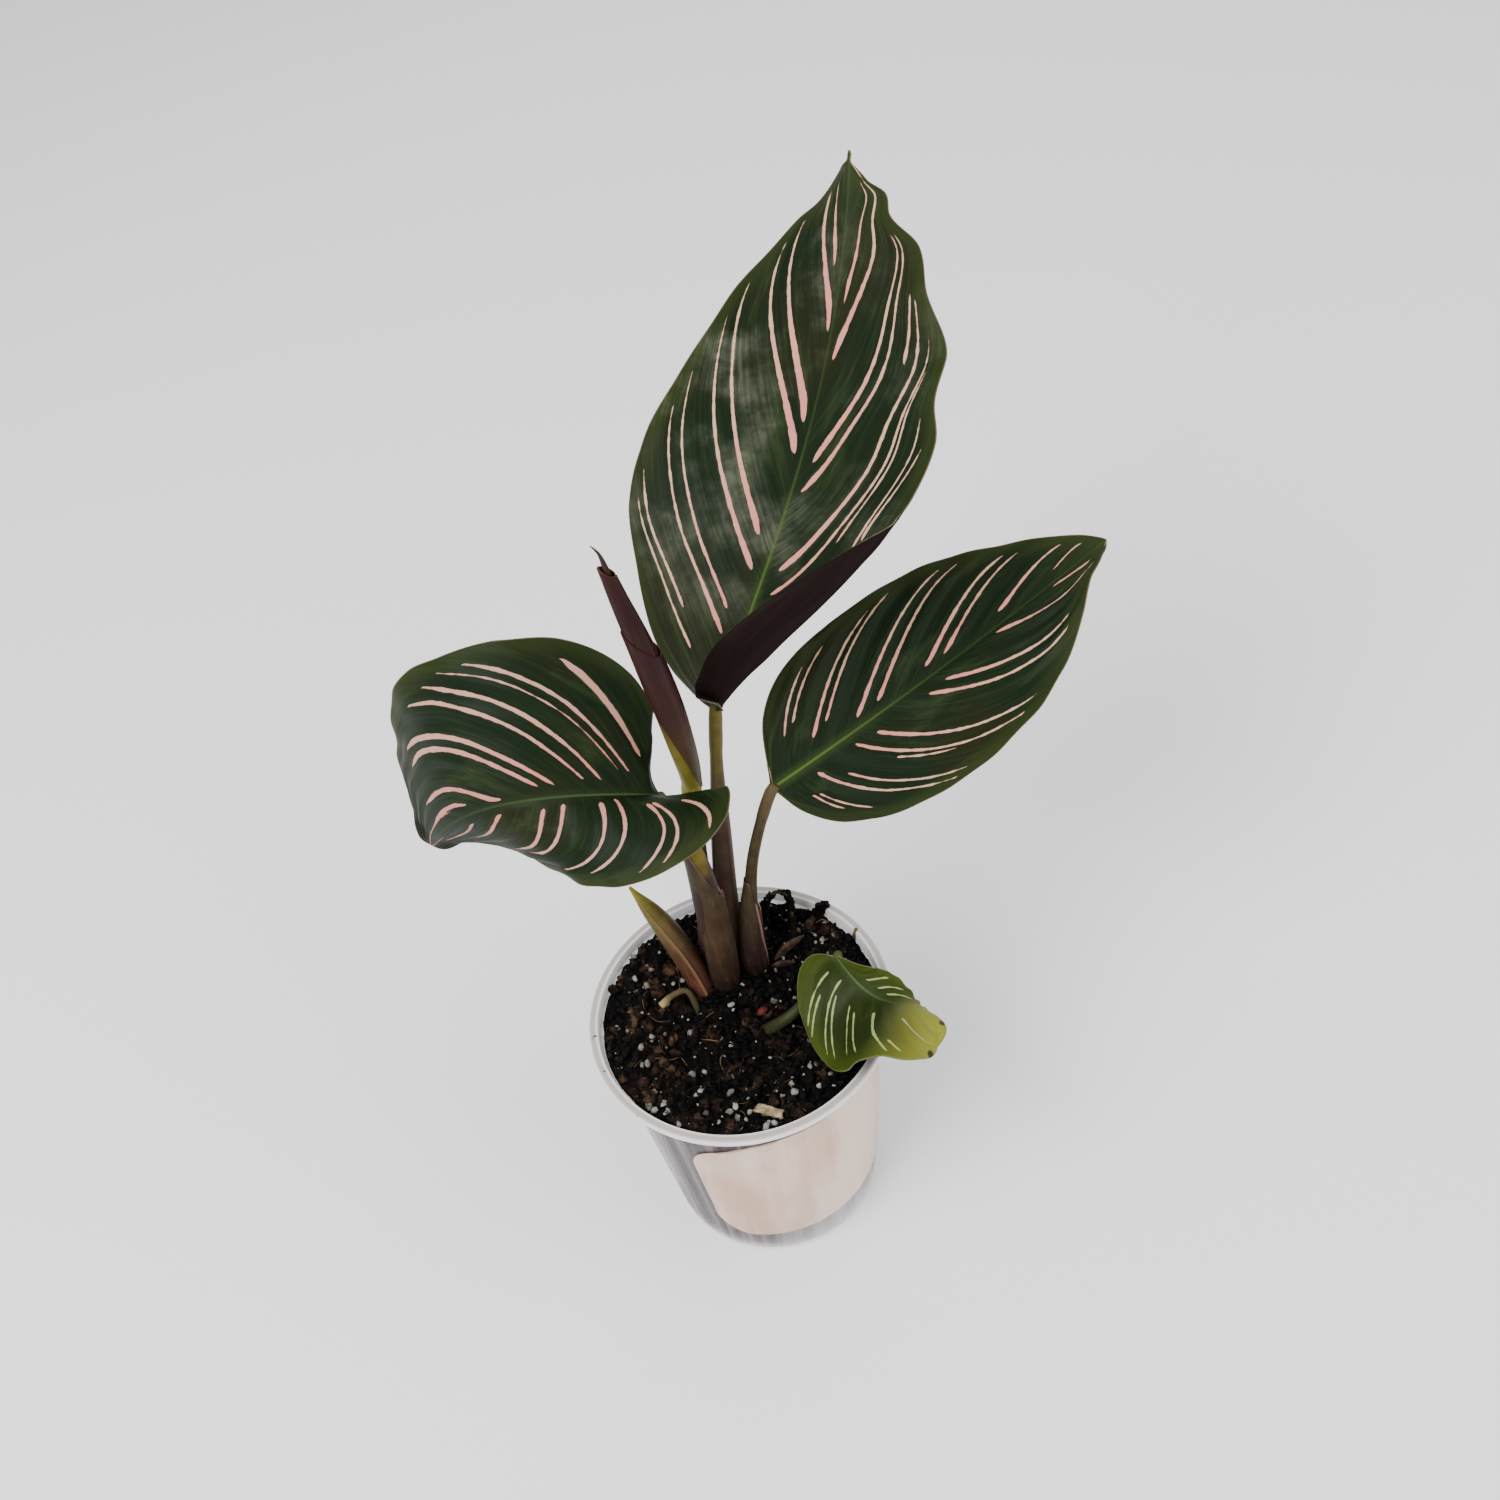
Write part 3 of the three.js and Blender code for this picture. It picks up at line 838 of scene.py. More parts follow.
@dataclass
class Blade:
    """A leaf blade, from its midrib, the way it faces and its two halves.

    Attributes:
        node: the CAD node that it stands for.
        name: the piece's own name.
        midrib: the four control points of its midrib, in millimetres.
        faces: which way its upper face looks at the base and at the tip.
        left: the half to the left when its tip points up.
        right: the other half.
        rows: how many rows of faces it has.
        columns: how many columns each half has.
        quilting: the height in millimetres of the swellings between its lateral veins.
        laterals: how many such swellings there are from base to tip.
        keel: the thickness of the midrib at the base, in millimetres.
        thickness: the thickness of the rest.
        steps: how many straight steps the section takes in a column.
    """

    node: str
    name: str
    midrib: Sequence[Triple]
    faces: tuple[Triple, Triple]
    left: Half
    right: Half
    rows: int
    columns: int
    quilting: float = 0.14
    laterals: float = 11.0
    keel: float = 1.3
    thickness: float = 0.42
    steps: int = 3

    # The least share of the keel that the Solidify modifier keeps.
    THINNEST = 0.1

    def surface(self) -> dict[str, np.ndarray]:
        """Works out the blade's grid of points with all that its mesh and materials need.

        Returns:
            Arrays over rows and columns: the points, normals, shares along and across, vein and
            its scale, and the distances to the midrib and the margin, in millimetres.
        """
        even = np.linspace(0, 1, self.rows + 1)
        u = even + 0.5 * ((1 - np.cos(math.pi * even)) / 2 - even)
        rib, tangent, face = self._frames(u[:, None])
        across = np.cross(tangent, face)
        sides = []
        for half, sign in ((self.left, -1), (self.right, 1)):
            out, up, wide = self._section(half, u)
            sweep = through(half.sweep, u)[:, None, None]
            points = rib[:, None] + up[..., None] * face[:, None]
            points = points + sign * out[..., None] * np.cos(sweep) * across[:, None]
            points = points + out[..., None] * np.sin(sweep) * tangent[:, None]
            s = np.broadcast_to(np.linspace(0, 1, self.columns + 1)[None], out.shape)
            vein = half.veins.at(np.broadcast_to(u[:, None], s.shape), s)
            sides.append((points, s, vein, s * wide[:, None], (1 - s) * wide[:, None]))
        joined = [np.concatenate([a[:, ::-1], b[:, 1:]], axis=1) for a, b in zip(*sides)]
        grid = dict(zip(("points", "across", "vein", "from_rib", "from_margin"), joined))
        grid["along"] = np.broadcast_to(u[:, None], grid["across"].shape)
        grid["normals"] = self._normals(grid["points"])
        grid["points"] = grid["points"] + self._relief(grid)[..., None] * grid["normals"]
        grid["scale"] = self._vein_scale(grid)
        return grid

    def _frames(self, t: np.ndarray) -> tuple[np.ndarray, np.ndarray, np.ndarray]:
        """Follows the midrib.

        Args:
            t: the shares along it, as a column.

        Returns:
            Its points, its directions and the directions that the upper face looks in.
        """
        control = np.array(self.midrib, float)
        rib = (1 - t) ** 3 * control[0] + 3 * t * (1 - t) ** 2 * control[1]
        rib = rib + 3 * t * t * (1 - t) * control[2] + t**3 * control[3]
        run = (1 - t) ** 2 * (control[1] - control[0]) + 2 * t * (1 - t) * (control[2] - control[1])
        tangent = unit(run + t * t * (control[3] - control[2]))
        base_face, tip_face = (unit(np.array(face, float)) for face in self.faces)
        face = base_face * (1 - t) + tip_face * t
        return rib, tangent, unit(face - tangent * np.sum(face * tangent, axis=1, keepdims=True))

    def _section(self, half: Half, u: np.ndarray) -> tuple[np.ndarray, np.ndarray, np.ndarray]:
        """Works out how far out and up a half reaches, from its midrib to its margin.

        Args:
            half: the half.
            u: the shares along the blade.

        Returns:
            How far out and how far up each point lies, and the half's width in each row.
        """
        pieces = self.columns * self.steps
        wide = half.half_width(np.clip(u, 1e-9, 1 - 1e-9))
        angle = half.angles(u, (np.arange(pieces) + 0.5)[None] / pieces)
        step = wide[:, None] / pieces
        start = np.zeros((len(u), 1))
        out = np.concatenate([start, np.cumsum(np.cos(angle) * step, axis=1)], axis=1)
        up = np.concatenate([start, np.cumsum(np.sin(angle) * step, axis=1)], axis=1)
        return out[:, :: self.steps], up[:, :: self.steps], wide

    @staticmethod
    def _normals(points: np.ndarray) -> np.ndarray:
        """Gives the direction that the upper face looks in at each point."""
        return unit(np.cross(np.gradient(points, axis=1), np.gradient(points, axis=0)))

    def _relief(self, grid: dict[str, np.ndarray]) -> np.ndarray:
        """Works out the swellings between the veins, the groove on the midrib and the wavy margin.

        Args:
            grid: the blade's grid.

        Returns:
            How far each point is raised, in millimetres.
        """
        inside = smooth(grid["from_rib"], 0.5, 3.5) * smooth(grid["from_margin"], 0.2, 4.0)
        swelling = np.cos(TURN * self.laterals * grid["vein"]) * inside
        fine = np.cos(TURN * 3.7 * self.laterals * grid["vein"] + 1.0) * inside
        groove = np.exp(-((grid["from_rib"] / 0.7) ** 2)) * (1 - grid["along"]) ** 0.5
        waves = np.sin(TURN * (7.3 * grid["along"] + 0.2 * np.sign(grid["vein"])))
        edge = waves * grid["across"] ** 4 * np.sin(math.pi * grid["along"])
        return 0.2 + self.quilting * swelling + 0.03 * fine - 0.3 * groove + 0.25 * edge

    @staticmethod
    def _vein_scale(grid: dict[str, np.ndarray]) -> np.ndarray:
        """Works out how many millimetres apart veins lie, for each whole step of their number.

        Args:
            grid: the blade's grid.

        Returns:
            The distance at each point.
        """
        vein = grid["vein"]
        middle = vein.shape[1] // 2
        p_row, p_col = np.gradient(grid["points"], axis=0), np.gradient(grid["points"], axis=1)
        v_row = np.gradient(vein, axis=0)
        v_left, v_right = np.gradient(vein[:, : middle + 1], axis=1), np.gradient(vein[:, middle:], axis=1)
        v_col = np.concatenate([v_left[:, :-1], v_right], axis=1)
        e, f, g = (np.sum(a * b, axis=-1) for a, b in ((p_row, p_row), (p_row, p_col), (p_col, p_col)))
        area = np.maximum(e * g - f * f, 1e-12)
        slope = (g * v_row**2 - 2 * f * v_row * v_col + e * v_col**2) / area
        return 1 / np.sqrt(np.maximum(slope, 1e-6))

    def _share(self, along: float, from_rib: float, from_margin: float) -> float:
        """Gives the blade's thickness at a point as a share of its keel's.

        Args:
            along: the share along the blade.
            from_rib: the distance from the midrib in millimetres.
            from_margin: the distance from the margin in millimetres.

        Returns:
            The share that the Solidify modifier's group takes, above its least.
        """
        rib = math.exp(-((from_rib / 0.75) ** 2)) * (1 - along) ** 0.7
        edge = 0.45 + 0.55 * smooth(from_margin, 0, 1.2)
        least = self.thickness / self.keel
        wanted = least * edge + (1 - least) * rib
        return max(0.0, (wanted - self.THINNEST) / (1 - self.THINNEST))

    def build(self, materials: Sequence[Material]) -> None:
        """Makes the blade's mesh from a grid, with its maps, its thickness and its keel.

        Args:
            materials: the finishes of its upper face, its underside and its edge.
        """
        grid = self.surface()
        mesh = bmesh.new()
        wide = 2 * self.columns
        for name in ("blade", "veins", "reach"):
            mesh.loops.layers.uv.new(name)
        thickness = mesh.verts.layers.deform.new()
        bmesh.ops.create_grid(mesh, x_segments=wide, y_segments=self.rows, size=0.5)
        for vert in mesh.verts:
            i = round((vert.co.y + 0.5) * self.rows)
            j = round((vert.co.x + 0.5) * wide)
            here = {name: values[i, j] for name, values in grid.items()}
            side = 1 if j >= self.columns else -1
            maps = {
                "blade": (0.5 + 0.5 * side * here["across"], here["along"]),
                "veins": (here["vein"], here["scale"]),
                "reach": (here["from_rib"], here["from_margin"]),
            }
            for name, values in maps.items():
                for loop in vert.link_loops:
                    loop[mesh.loops.layers.uv[name]].uv = values
            vert[thickness][0] = self._share(here["along"], here["from_rib"], here["from_margin"])
            vert.co = Vector(here["points"]) * MM
        piece = finished(mesh, self.name, materials, [self.node])
        piece.vertex_groups.new(name="thickness")
        solidify = thicken(piece, self.keel, under=1, rim=2)
        solidify.vertex_group = "thickness"
        solidify.thickness_vertex_group = self.THINNEST


class LeafMaps:
    """What a blade's finishes are drawn from: its UV maps, as Blade.surface names them, and its tissue."""

    def __init__(self, graph: Graph, effects: Effects) -> None:
        """Reads the maps.

        Args:
            graph: the material's graph.
            effects: the shared shader effects.
        """
        self.graph = graph
        self.place = graph.place()
        side, self.along = graph.uv("blade")
        self.vein, self.scale = graph.uv("veins")
        self.from_rib, self.from_margin = graph.uv("reach")
        self.right = graph.math("MULTIPLY_ADD", side, 2.0, -1.0)
        self.across = graph.math("ABSOLUTE", self.right)
        tissue = graph.use(effects.tissue, vein=self.vein, across=self.across, place=self.place)
        self.lines, self.clouds, self.grain = tissue["Lines"], tissue["Clouds"], tissue["Grain"]


@dataclass(frozen=True)
class LeafFinish:
    """The finishes of a blade: dark green and striped above, maroon below.

    Attributes:
        warm: the browner green that the deep one drifts to.
        edge_reach: how far in from the margin the olive edge reaches, in millimetres.
        tip_share: how much of the tip's colour shows.
        tip_from: the share along the blade where that starts.
        dust_and_sheen: how much of the grey patches shows, partly dusty bloom and partly painted sheen.
        spots: where dark spots lie, in millimetres.
        rib_fade: how far along the midrib is brighter than the blade.
        rims: the two colours of the thin edge.
        gloss: the upper face's roughness.
    """

    deep: Colour = srgb(11, 26, 8)
    warm: Colour = srgb(26, 29, 9)
    # cloud: a grey-green, partly the leaf's own mottling and partly painted sheen.
    cloud: Colour = srgb(50, 62, 34)
    edge: Colour = srgb(42, 52, 16)
    edge_reach: float = 4.5
    tip: Colour = srgb(44, 54, 24)
    tip_share: float = 0.5
    tip_from: float = 0.78
    dust_and_sheen: float = 0.0
    dust_and_sheen_grey: Colour = srgb(98, 100, 84)
    spots: tuple[Triple, ...] = ()
    spot: Colour = srgb(20, 18, 12)
    rib: Colour = srgb(74, 98, 40)
    rib_fade: float = 0.6
    stripe_start: Colour = srgb(202, 128, 120)
    stripe_end: Colour = srgb(198, 160, 134)
    under: Colour = srgb(24, 13, 12)
    under_rib: Colour = srgb(78, 66, 42)
    rims: tuple[Colour, Colour] = (srgb(54, 52, 34), srgb(96, 90, 66))
    gloss: float = 0.44

    def upper(self, blade: Blade, effects: Effects) -> Material:
        """Makes the upper face's material, with the blade's own stripes.

        Args:
            blade: the blade.
            effects: the shared shader effects.

        Returns:
            The material.
        """
        surface = Surface(f"{blade.name}_upper")
        g = surface.graph
        maps = LeafMaps(g, effects)
        wander = g.noise(maps.place, 450.0, 2.0, 0.6)
        run = g.math("SUBTRACT", g.math("ADD", maps.across, maps.along), maps.vein)
        base = self._greens(maps)
        olive = g.span(maps.from_margin, self.edge_reach, 0.0, 0.0, 0.65)
        base = g.mix(g.times(olive, g.span(maps.clouds, 0.3, 0.6, 0.5)), base, self.edge)
        base = g.mix(g.times(g.span(maps.along, self.tip_from, 1.0), self.tip_share), base, self.tip)
        # Grey patches: partly dusty bloom, partly painted sheen.
        if self.dust_and_sheen:
            base = self._dust_and_sheen(maps, base, wander)
        base = self._ribbed(maps, base)
        base = g.mix(g.span(maps.from_margin, 0.26, 0.1, 0.0, 0.2), base, self.stripe_end)
        for spot in self.spots:
            away = g.node("ShaderNodeVectorMath", operation="DISTANCE")
            g.feed(away.inputs[0], maps.place)
            g.feed(away.inputs[1], tuple(part * MM for part in spot))
            base = g.mix(g.span(away.outputs["Value"], 0.0011, 0.0006, 0.0, 0.9), base, self.spot)
        ink = g.mix(g.span(run, 0.15, 0.95), self.stripe_start, self.stripe_end)
        ink = g.mix(g.span(wander, 0.42, 0.7, 0.0, 0.22), ink, self.stripe_end)
        colour = g.mix(self._stripes(maps, blade, effects, run, wander), base, ink)
        surface.set(base_color=colour, roughness=g.span(maps.clouds, 0.3, 0.7, self.gloss, self.gloss + 0.1))
        surface.set(specular_ior_level=0.09)
        surface.bump((maps.lines, 0.09), (maps.grain, 0.025))
        return surface.material

    @staticmethod
    def _stripes(maps: LeafMaps, blade: Blade, effects: Effects, run: Socket, wander: Socket) -> Socket:
        """Draws the pinstripes of both halves.

        Args:
            maps: the blade's maps.
            blade: the blade.
            effects: the shared shader effects.
            run: the share across plus how far the vein has run forward.
            wander: the noise that their edges waver with.

        Returns:
            The mask of the stripes.
        """
        g = maps.graph
        stripes = 0.0
        for half, low, high in ((blade.left, -1.01, 0.0), (blade.right, 0.0, 1.01)):
            inside = g.times(g.math("GREATER_THAN", maps.right, low), g.math("LESS_THAN", maps.right, high))
            here = g.times(run, inside)
            for stripe in half.stripes:
                mask = g.use(
                    effects.pinstripe, vein=maps.vein, scale=maps.scale, run=here, wander=wander,
                    at=stripe.at, drifts_to=stripe.to, starts=stripe.starts, ends=stripe.ends,
                    width=stripe.width, end_width=stripe.end_width,
                )["Mask"]
                stripes = g.math("MAXIMUM", stripes, mask)
        return stripes

    def _greens(self, maps: LeafMaps) -> Socket:
        """Mixes the greens between the veins.

        Args:
            maps: the blade's maps.

        Returns:
            The colour of the blade without its stripes.
        """
        g = maps.graph
        drift = g.noise(maps.place, 38.0, 2.0)
        base = g.mix(g.span(drift, 0.4, 0.66, 0.0, 0.85), self.deep, self.warm)
        # Grey-green clouds between the veins: partly the leaf's own mottling, partly painted sheen.
        clouds = g.times(g.span(maps.clouds, 0.52, 0.78), g.span(maps.from_rib, 0.5, 5.0, 0.3), 0.7)
        base = g.mix(clouds, base, self.cloud)
        fine = g.times(g.span(maps.lines, 0.44, 0.7), g.span(maps.clouds, 0.3, 0.6, 0.08, 0.22))
        return g.mix(fine, base, self.cloud)

    def _dust_and_sheen(self, maps: LeafMaps, base: Socket, wander: Socket) -> Socket:
        """Lays grey patches on the left half and the midrib, away from the base: partly dusty bloom, partly
        painted sheen.

        Args:
            maps: the blade's maps.
            base: the colour of the blade.
            wander: a fine noise.

        Returns:
            The colour with the bloom.
        """
        g = maps.graph
        patches = g.times(
            g.span(g.noise(maps.place, 70.0, 4.0), 0.46, 0.7),
            g.span(maps.right, 0.5, -0.2, 0.3),
            g.span(maps.along, 0.08, 0.34, 0.15),
        )
        grain = g.times(g.span(maps.lines, 0.35, 0.6, 0.45), g.span(wander, 0.3, 0.6, 0.5))
        return g.mix(g.times(patches, grain, self.dust_and_sheen), base, self.dust_and_sheen_grey)

    def _ribbed(self, maps: LeafMaps, base: Socket) -> Socket:
        """Draws the bright midrib, which fades on its way to the tip.

        Args:
            maps: the blade's maps.
            base: the colour of the blade.

        Returns:
            The colour with the midrib.
        """
        g = maps.graph
        glow, fade = (g.span(maps.along, 0.0, self.rib_fade, *ends) for ends in ((0.22, 0.0), (0.85, 0.15)))
        base = g.mix(g.times(g.span(maps.from_rib, 1.8, 0.3), glow), base, self.rib)
        return g.mix(g.times(g.span(maps.from_rib, 0.36, 0.12), fade), base, self.rib)

    def lower(self, blade: Blade, effects: Effects) -> Material:
        """Makes the underside's material.

        Args:
            blade: the blade.
            effects: the shared shader effects.

        Returns:
            The material.
        """
        surface = Surface(f"{blade.name}_under")
        g = surface.graph
        maps = LeafMaps(g, effects)
        deep = tuple(0.6 * part for part in self.under)
        pale = tuple(1.5 * part + 0.003 for part in self.under)
        colour = g.mix(g.span(maps.clouds, 0.3, 0.7), self.under, deep)
        colour = g.mix(g.span(maps.lines, 0.5, 0.75, 0.0, 0.35), colour, pale)
        rib = g.times(g.span(maps.from_rib, 0.9, 0.4), g.span(maps.along, 0.0, 0.9, 0.7, 0.15))
        colour = g.mix(rib, colour, self.under_rib)
        surface.set(base_color=colour, roughness=0.55, specular_ior_level=0.06)
        surface.bump((maps.lines, 0.14), (maps.grain, 0.03))
        return surface.material

    def margin(self, blade: Blade) -> Material:
        """Makes the thin pale edge's material.

        Args:
            blade: the blade.

        Returns:
            The material.
        """
        surface = Surface(f"{blade.name}_edge")
        g = surface.graph
        colour = g.mix(g.span(g.noise(g.place(), 500.0), 0.3, 0.7), *self.rims)
        surface.set(base_color=colour, roughness=0.6, specular_ior_level=0.3)
        return surface.material


# The tall leaf, whose right base is folded over its midrib.
TALL_LEAF = Blade(
    "tall_leaf_blade", "tall_leaf",
    midrib=((7, 18.4, 120.5), (22.9, 36.7, 138.7), (42.5, 69.8, 148.6), (51, 94, 179.9)),
    faces=((-0.76, -0.07, 0.65), (-0.33, -0.46, 0.83)),
    left=Half(
        29.6, 0.52, 0.87, (0.03, 0.37, 0.89), (0.16, 0.55, -0.66), (-0.11, -0.06, -0.33),
        edge=(
            (0, 0), (0.06, 0), (0.19, -1.2), (0.29, 0.8), (0.37, 0.8), (0.56, -0.3), (0.68, 0.6),
            (0.83, 0.9), (0.88, 0.2), (0.95, 0.4), (0.98, -1.5), (1, 0),
        ),
        veins=Veins(0.28, 0.76, 1.58, 1.77, 1.21, 0.13),
        stripes=pinstripes(
            (0.756, 0.782, 0.17, 0.8, 1.0), (0.678, 0.66, 0.07, 1.08, 1.35), (0.51, 0.502, 0.09, 1.22, 1.8),
            (0.458, 0.435, 0.08, 1.24, 1.65), (0.297, 0.319, 0.14, 1.3, 1.5),
            (0.248, 0.261, 0.1, 1.28, 1.35), (0.15, 0.164, 0.22, 1.28, 0.85),
            (0.112, 0.117, 0.2, 1.26, 1.0), (0.032, 0.018, 0.7, 1.27, 0.5), (0.004, -0.01, 0.58, 1.25, 0.5),
        ),
    ),
    right=Half(
        27, 0.53, 0.87, (0.14, 0.53, 0.22), (-0.09, -0.47, -0.13), (-0.18, 0.33, -0.35),
        edge=(
            (0, 3.4), (0.018, 1.0), (0.05, -0.9), (0.1, 1.2), (0.16, 2.2), (0.24, 0.9), (0.32, -0.4),
            (0.41, 0.8), (0.5, -1.1), (0.59, 1.0), (0.72, -0.9), (0.81, 0.6), (0.88, -1.5), (0.92, 0),
            (0.95, -1.5), (0.98, -1.7), (1, 0),
        ),
        veins=Veins(0.24, 2.03, 2.86, 3.4, 1.4, 0.43),
        fold=Fold(2.47, 0.13, 0.34, 0.47, 0.009),
        stripes=pinstripes(
            (0.68, 0.775, 0.17, 0.8, 1.0), (0.62, 0.64, 0.1, 1.16, 1.2), (0.45, 0.47, 0.12, 1.14, 1.25),
            (0.408, 0.4, 0.08, 1.26, 1.05), (0.317, 0.295, 0.95, 1.26, 0.45),
            (0.26, 0.261, 0.12, 1.32, 1.25), (0.216, 0.21, 0.12, 1.3, 0.9), (0.185, 0.195, 0.6, 1.22, 0.45),
            (0.126, 0.13, 0.78, 1.24, 0.7), (0.112, 0.094, 0.86, 1.22, 0.6),
        ),
    ),
    rows=150,
    columns=54,
)

# The right leaf, which is nearly flat.
RIGHT_LEAF = Blade(
    "right_leaf_blade", "right_leaf",
    midrib=((14.7, 12, 105), (31.5, 20.8, 106), (58, 35.4, 107.8), (84.7, 43.3, 120)),
    faces=((0.23, -0.79, 0.57), (-0.2, -0.03, 0.98)),
    left=Half(
        21.9, 0.49, 0.79, (0.15, 0.47, 0.4), (-0.1, 0.14, 0.15), (-0.1, -0.18, 0),
        edge=((0, 0), (0.05, 0.3), (0.3, -0.9), (0.6, 0.2), (0.76, -0.2), (0.9, 0), (1, 0)),
        veins=Veins(0.1, 1.07, 1.33, 0.8, 1.08, -0.23),
        stripes=pinstripes(
            (0.664, 0.685, 0.2, 0.96, 0.95), (0.526, 0.523, 0.14, 1.08, 0.8),
            (0.475, 0.472, 0.14, 1.12, 1.0), (0.34, 0.331, 0.13, 1.21, 0.85),
            (0.281, 0.289, 0.11, 1.2, 0.9), (0.169, 0.173, 0.29, 1.2, 0.6),
            (0.138, 0.149, 0.22, 1.12, 0.85), (0.061, 0.064, 0.54, 1.06, 0.42),
            (0.038, 0.031, 0.5, 1.0, 0.42), (0.8, 0.82, 0.3, 0.72, 0.38),
        ),
    ),
    right=Half(
        20.3, 0.46, 0.83, (0.18, 0.53, 0.24), (0, -0.09, 0.4), (-0.04, -0.29, 0.14),
        edge=(
            (0, -0.3), (0.03, -0.6), (0.09, 0), (0.22, 1.3), (0.35, 1.8), (0.55, 1.1), (0.66, 0.4),
            (0.8, -0.3), (0.89, -0.8), (0.95, 0.4), (1, 0),
        ),
        veins=Veins(-0.04, 1.45, 2.06, 1.86, 1.24, 0.56),
        stripes=pinstripes(
            (0.798, 0.812, 0.17, 0.6, 0.5), (0.657, 0.658, 0.1, 0.98, 0.75),
            (0.496, 0.503, 0.15, 1.04, 0.85), (0.444, 0.438, 0.16, 1.15, 0.75),
            (0.304, 0.292, 0.14, 1.18, 0.9), (0.249, 0.25, 0.11, 1.19, 0.8), (0.228, 0.236, 0.5, 0.85, 0.4),
            (0.158, 0.158, 0.34, 1.12, 0.55), (0.123, 0.133, 0.15, 1.14, 0.8),
            (0.074, 0.077, 0.44, 0.9, 0.42), (0.062, 0.06, 0.44, 0.8, 0.4),
        ),
    ),
    rows=120,
    columns=42,
    quilting=0.2,
)

# The left leaf, which arches over and curls under at its tip.
LEFT_LEAF = Blade(
    "left_leaf_blade", "left_leaf",
    midrib=((-5.6, 13.4, 107.2), (-23.3, 8, 119), (-40, 10, 119.4), (-50.9, 24.7, 94.5)),
    faces=((-0.27, 0, 0.96), (-0.3, -0.92, 0.26)),
    left=Half(
        22.2, 0.29, 0.62, (-0.89, -0.62, 0.27), (0.5, -0.26, -0.36), (0.35, 0, -0.45),
        edge=((0, 0), (0.08, 0.1), (0.14, 0.6), (0.3, 0), (0.57, 0.2), (0.66, -0.4), (0.8, 0.2), (1, -0.6)),
        veins=Veins(-0.04, 1.85, 1.52, 1.5, 1.24, 1.55),
        stripes=pinstripes(
            (0.62, 0.625, 0.22, 0.55, 0.66, 0.5), (0.507, 0.512, 0.16, 0.7, 0.73, 0.5),
            (0.366, 0.35, 0.15, 0.97, 0.83, 0.5), (0.31, 0.31, 0.11, 1.0, 0.83, 0.5),
            (0.207, 0.217, 0.14, 1.15, 0.9, 0.5), (0.165, 0.18, 0.11, 1.12, 0.86, 0.5),
            (0.111, 0.112, 0.32, 1.15, 0.63, 0.5), (0.1, 0.089, 0.34, 1.12, 0.59, 0.5),
            (0.058, 0.048, 0.52, 1.04, 0.79, 0.6),
        ),
    ),
    right=Half(
        29.9, 0.45, 0.64, (-0.12, 0.5, 0.39), (1.13, 0.35, -0.28), (-0.08, -0.33, -0.49),
        edge=(
            (0, 0), (0.1, 0.9), (0.22, 0.8), (0.31, 0), (0.42, -0.5), (0.5, 0.4), (0.62, 0.4), (0.77, -0.5),
            (0.83, 0.1), (0.91, -0.5), (0.94, 0), (0.98, -1), (1, 0),
        ),
        veins=Veins(0.28, 0.83, 1.05, 0.94, 1.33, 1.97),
        stripes=pinstripes(
            (0.575, 0.6, 0.17, 0.4, 0.59, 1.1), (0.486, 0.5, 0.08, 0.66, 1.06, 0.9),
            (0.319, 0.328, 0.14, 1.07, 0.46, 1.1), (0.273, 0.279, 0.13, 1.13, 0.5, 1.1),
            (0.184, 0.171, 0.16, 1.22, 0.26, 0.78), (0.139, 0.129, 0.14, 1.23, 0.33, 0.8),
            (0.07, 0.084, 0.25, 1.27, 0.2, 0.34), (0.043, 0.058, 0.25, 1.24, 0.26, 0.78),
            (-0.02, -0.024, 0.45, 1.12, 0.4, 1.35),
        ),
    ),
    rows=130,
    columns=48,
    quilting=0.18,
)

# The small young leaf over the rim.
SMALL_VEINS = Veins(0.19, 0.73, 1.5, 1.18, 2.15, 2.02)
SMALL_LEAF = Blade(
    "small_leaf_blade", "small_leaf",
    midrib=((20.1, -1.1, 69.5), (26.3, -7.8, 57.4), (26.8, -12.3, 72.3), (36.9, -17.5, 65.2)),
    faces=((-0.53, -0.68, 0.5), (0.6, 0.44, 0.66)),
    left=Half(
        5.8, 0.49, 0.61, (0.16, 0.15, 0.2), (0.22, -0.1, 0.2), (-0.14, -0.47, -0.35),
        edge=((0, 0), (1, 0)), veins=SMALL_VEINS,
        stripes=pinstripes(
            (0.42, 0.42, 0.3, 1.0, 0.42), (0.3, 0.3, 0.35, 1.0, 0.42), (0.16, 0.16, 0.4, 1.0, 0.38),
        ),
    ),
    right=Half(
        16.3, 0.5, 0.54, (-0.84, 0.29, 0.32), (0.05, 0.18, -0.46), (-0.17, -0.32, -0.45),
        edge=((0, 0), (0.55, 0), (0.63, -0.4), (0.72, 0.3), (0.85, -0.1), (0.92, 0.2), (1, -0.5)),
        veins=SMALL_VEINS,
        stripes=pinstripes(
            (0.63, 0.68, 0.4, 0.97, 0.5), (0.46, 0.467, 0.95, 1.15, 0.42), (0.431, 0.401, 0.28, 1.2, 0.95),
            (0.261, 0.285, 0.36, 1.04, 0.45), (0.22, 0.23, 0.33, 1.02, 0.45),
            (0.132, 0.146, 0.42, 1.1, 0.38), (0.111, 0.111, 0.2, 1.12, 0.45),
            (0.06, 0.048, 0.7, 1.16, 0.38), (0.037, 0.031, 0.42, 1.14, 0.38),
        ),
    ),
    rows=80,
    columns=32,
    quilting=0.12,
    laterals=8.0,
    keel=1.0,
)


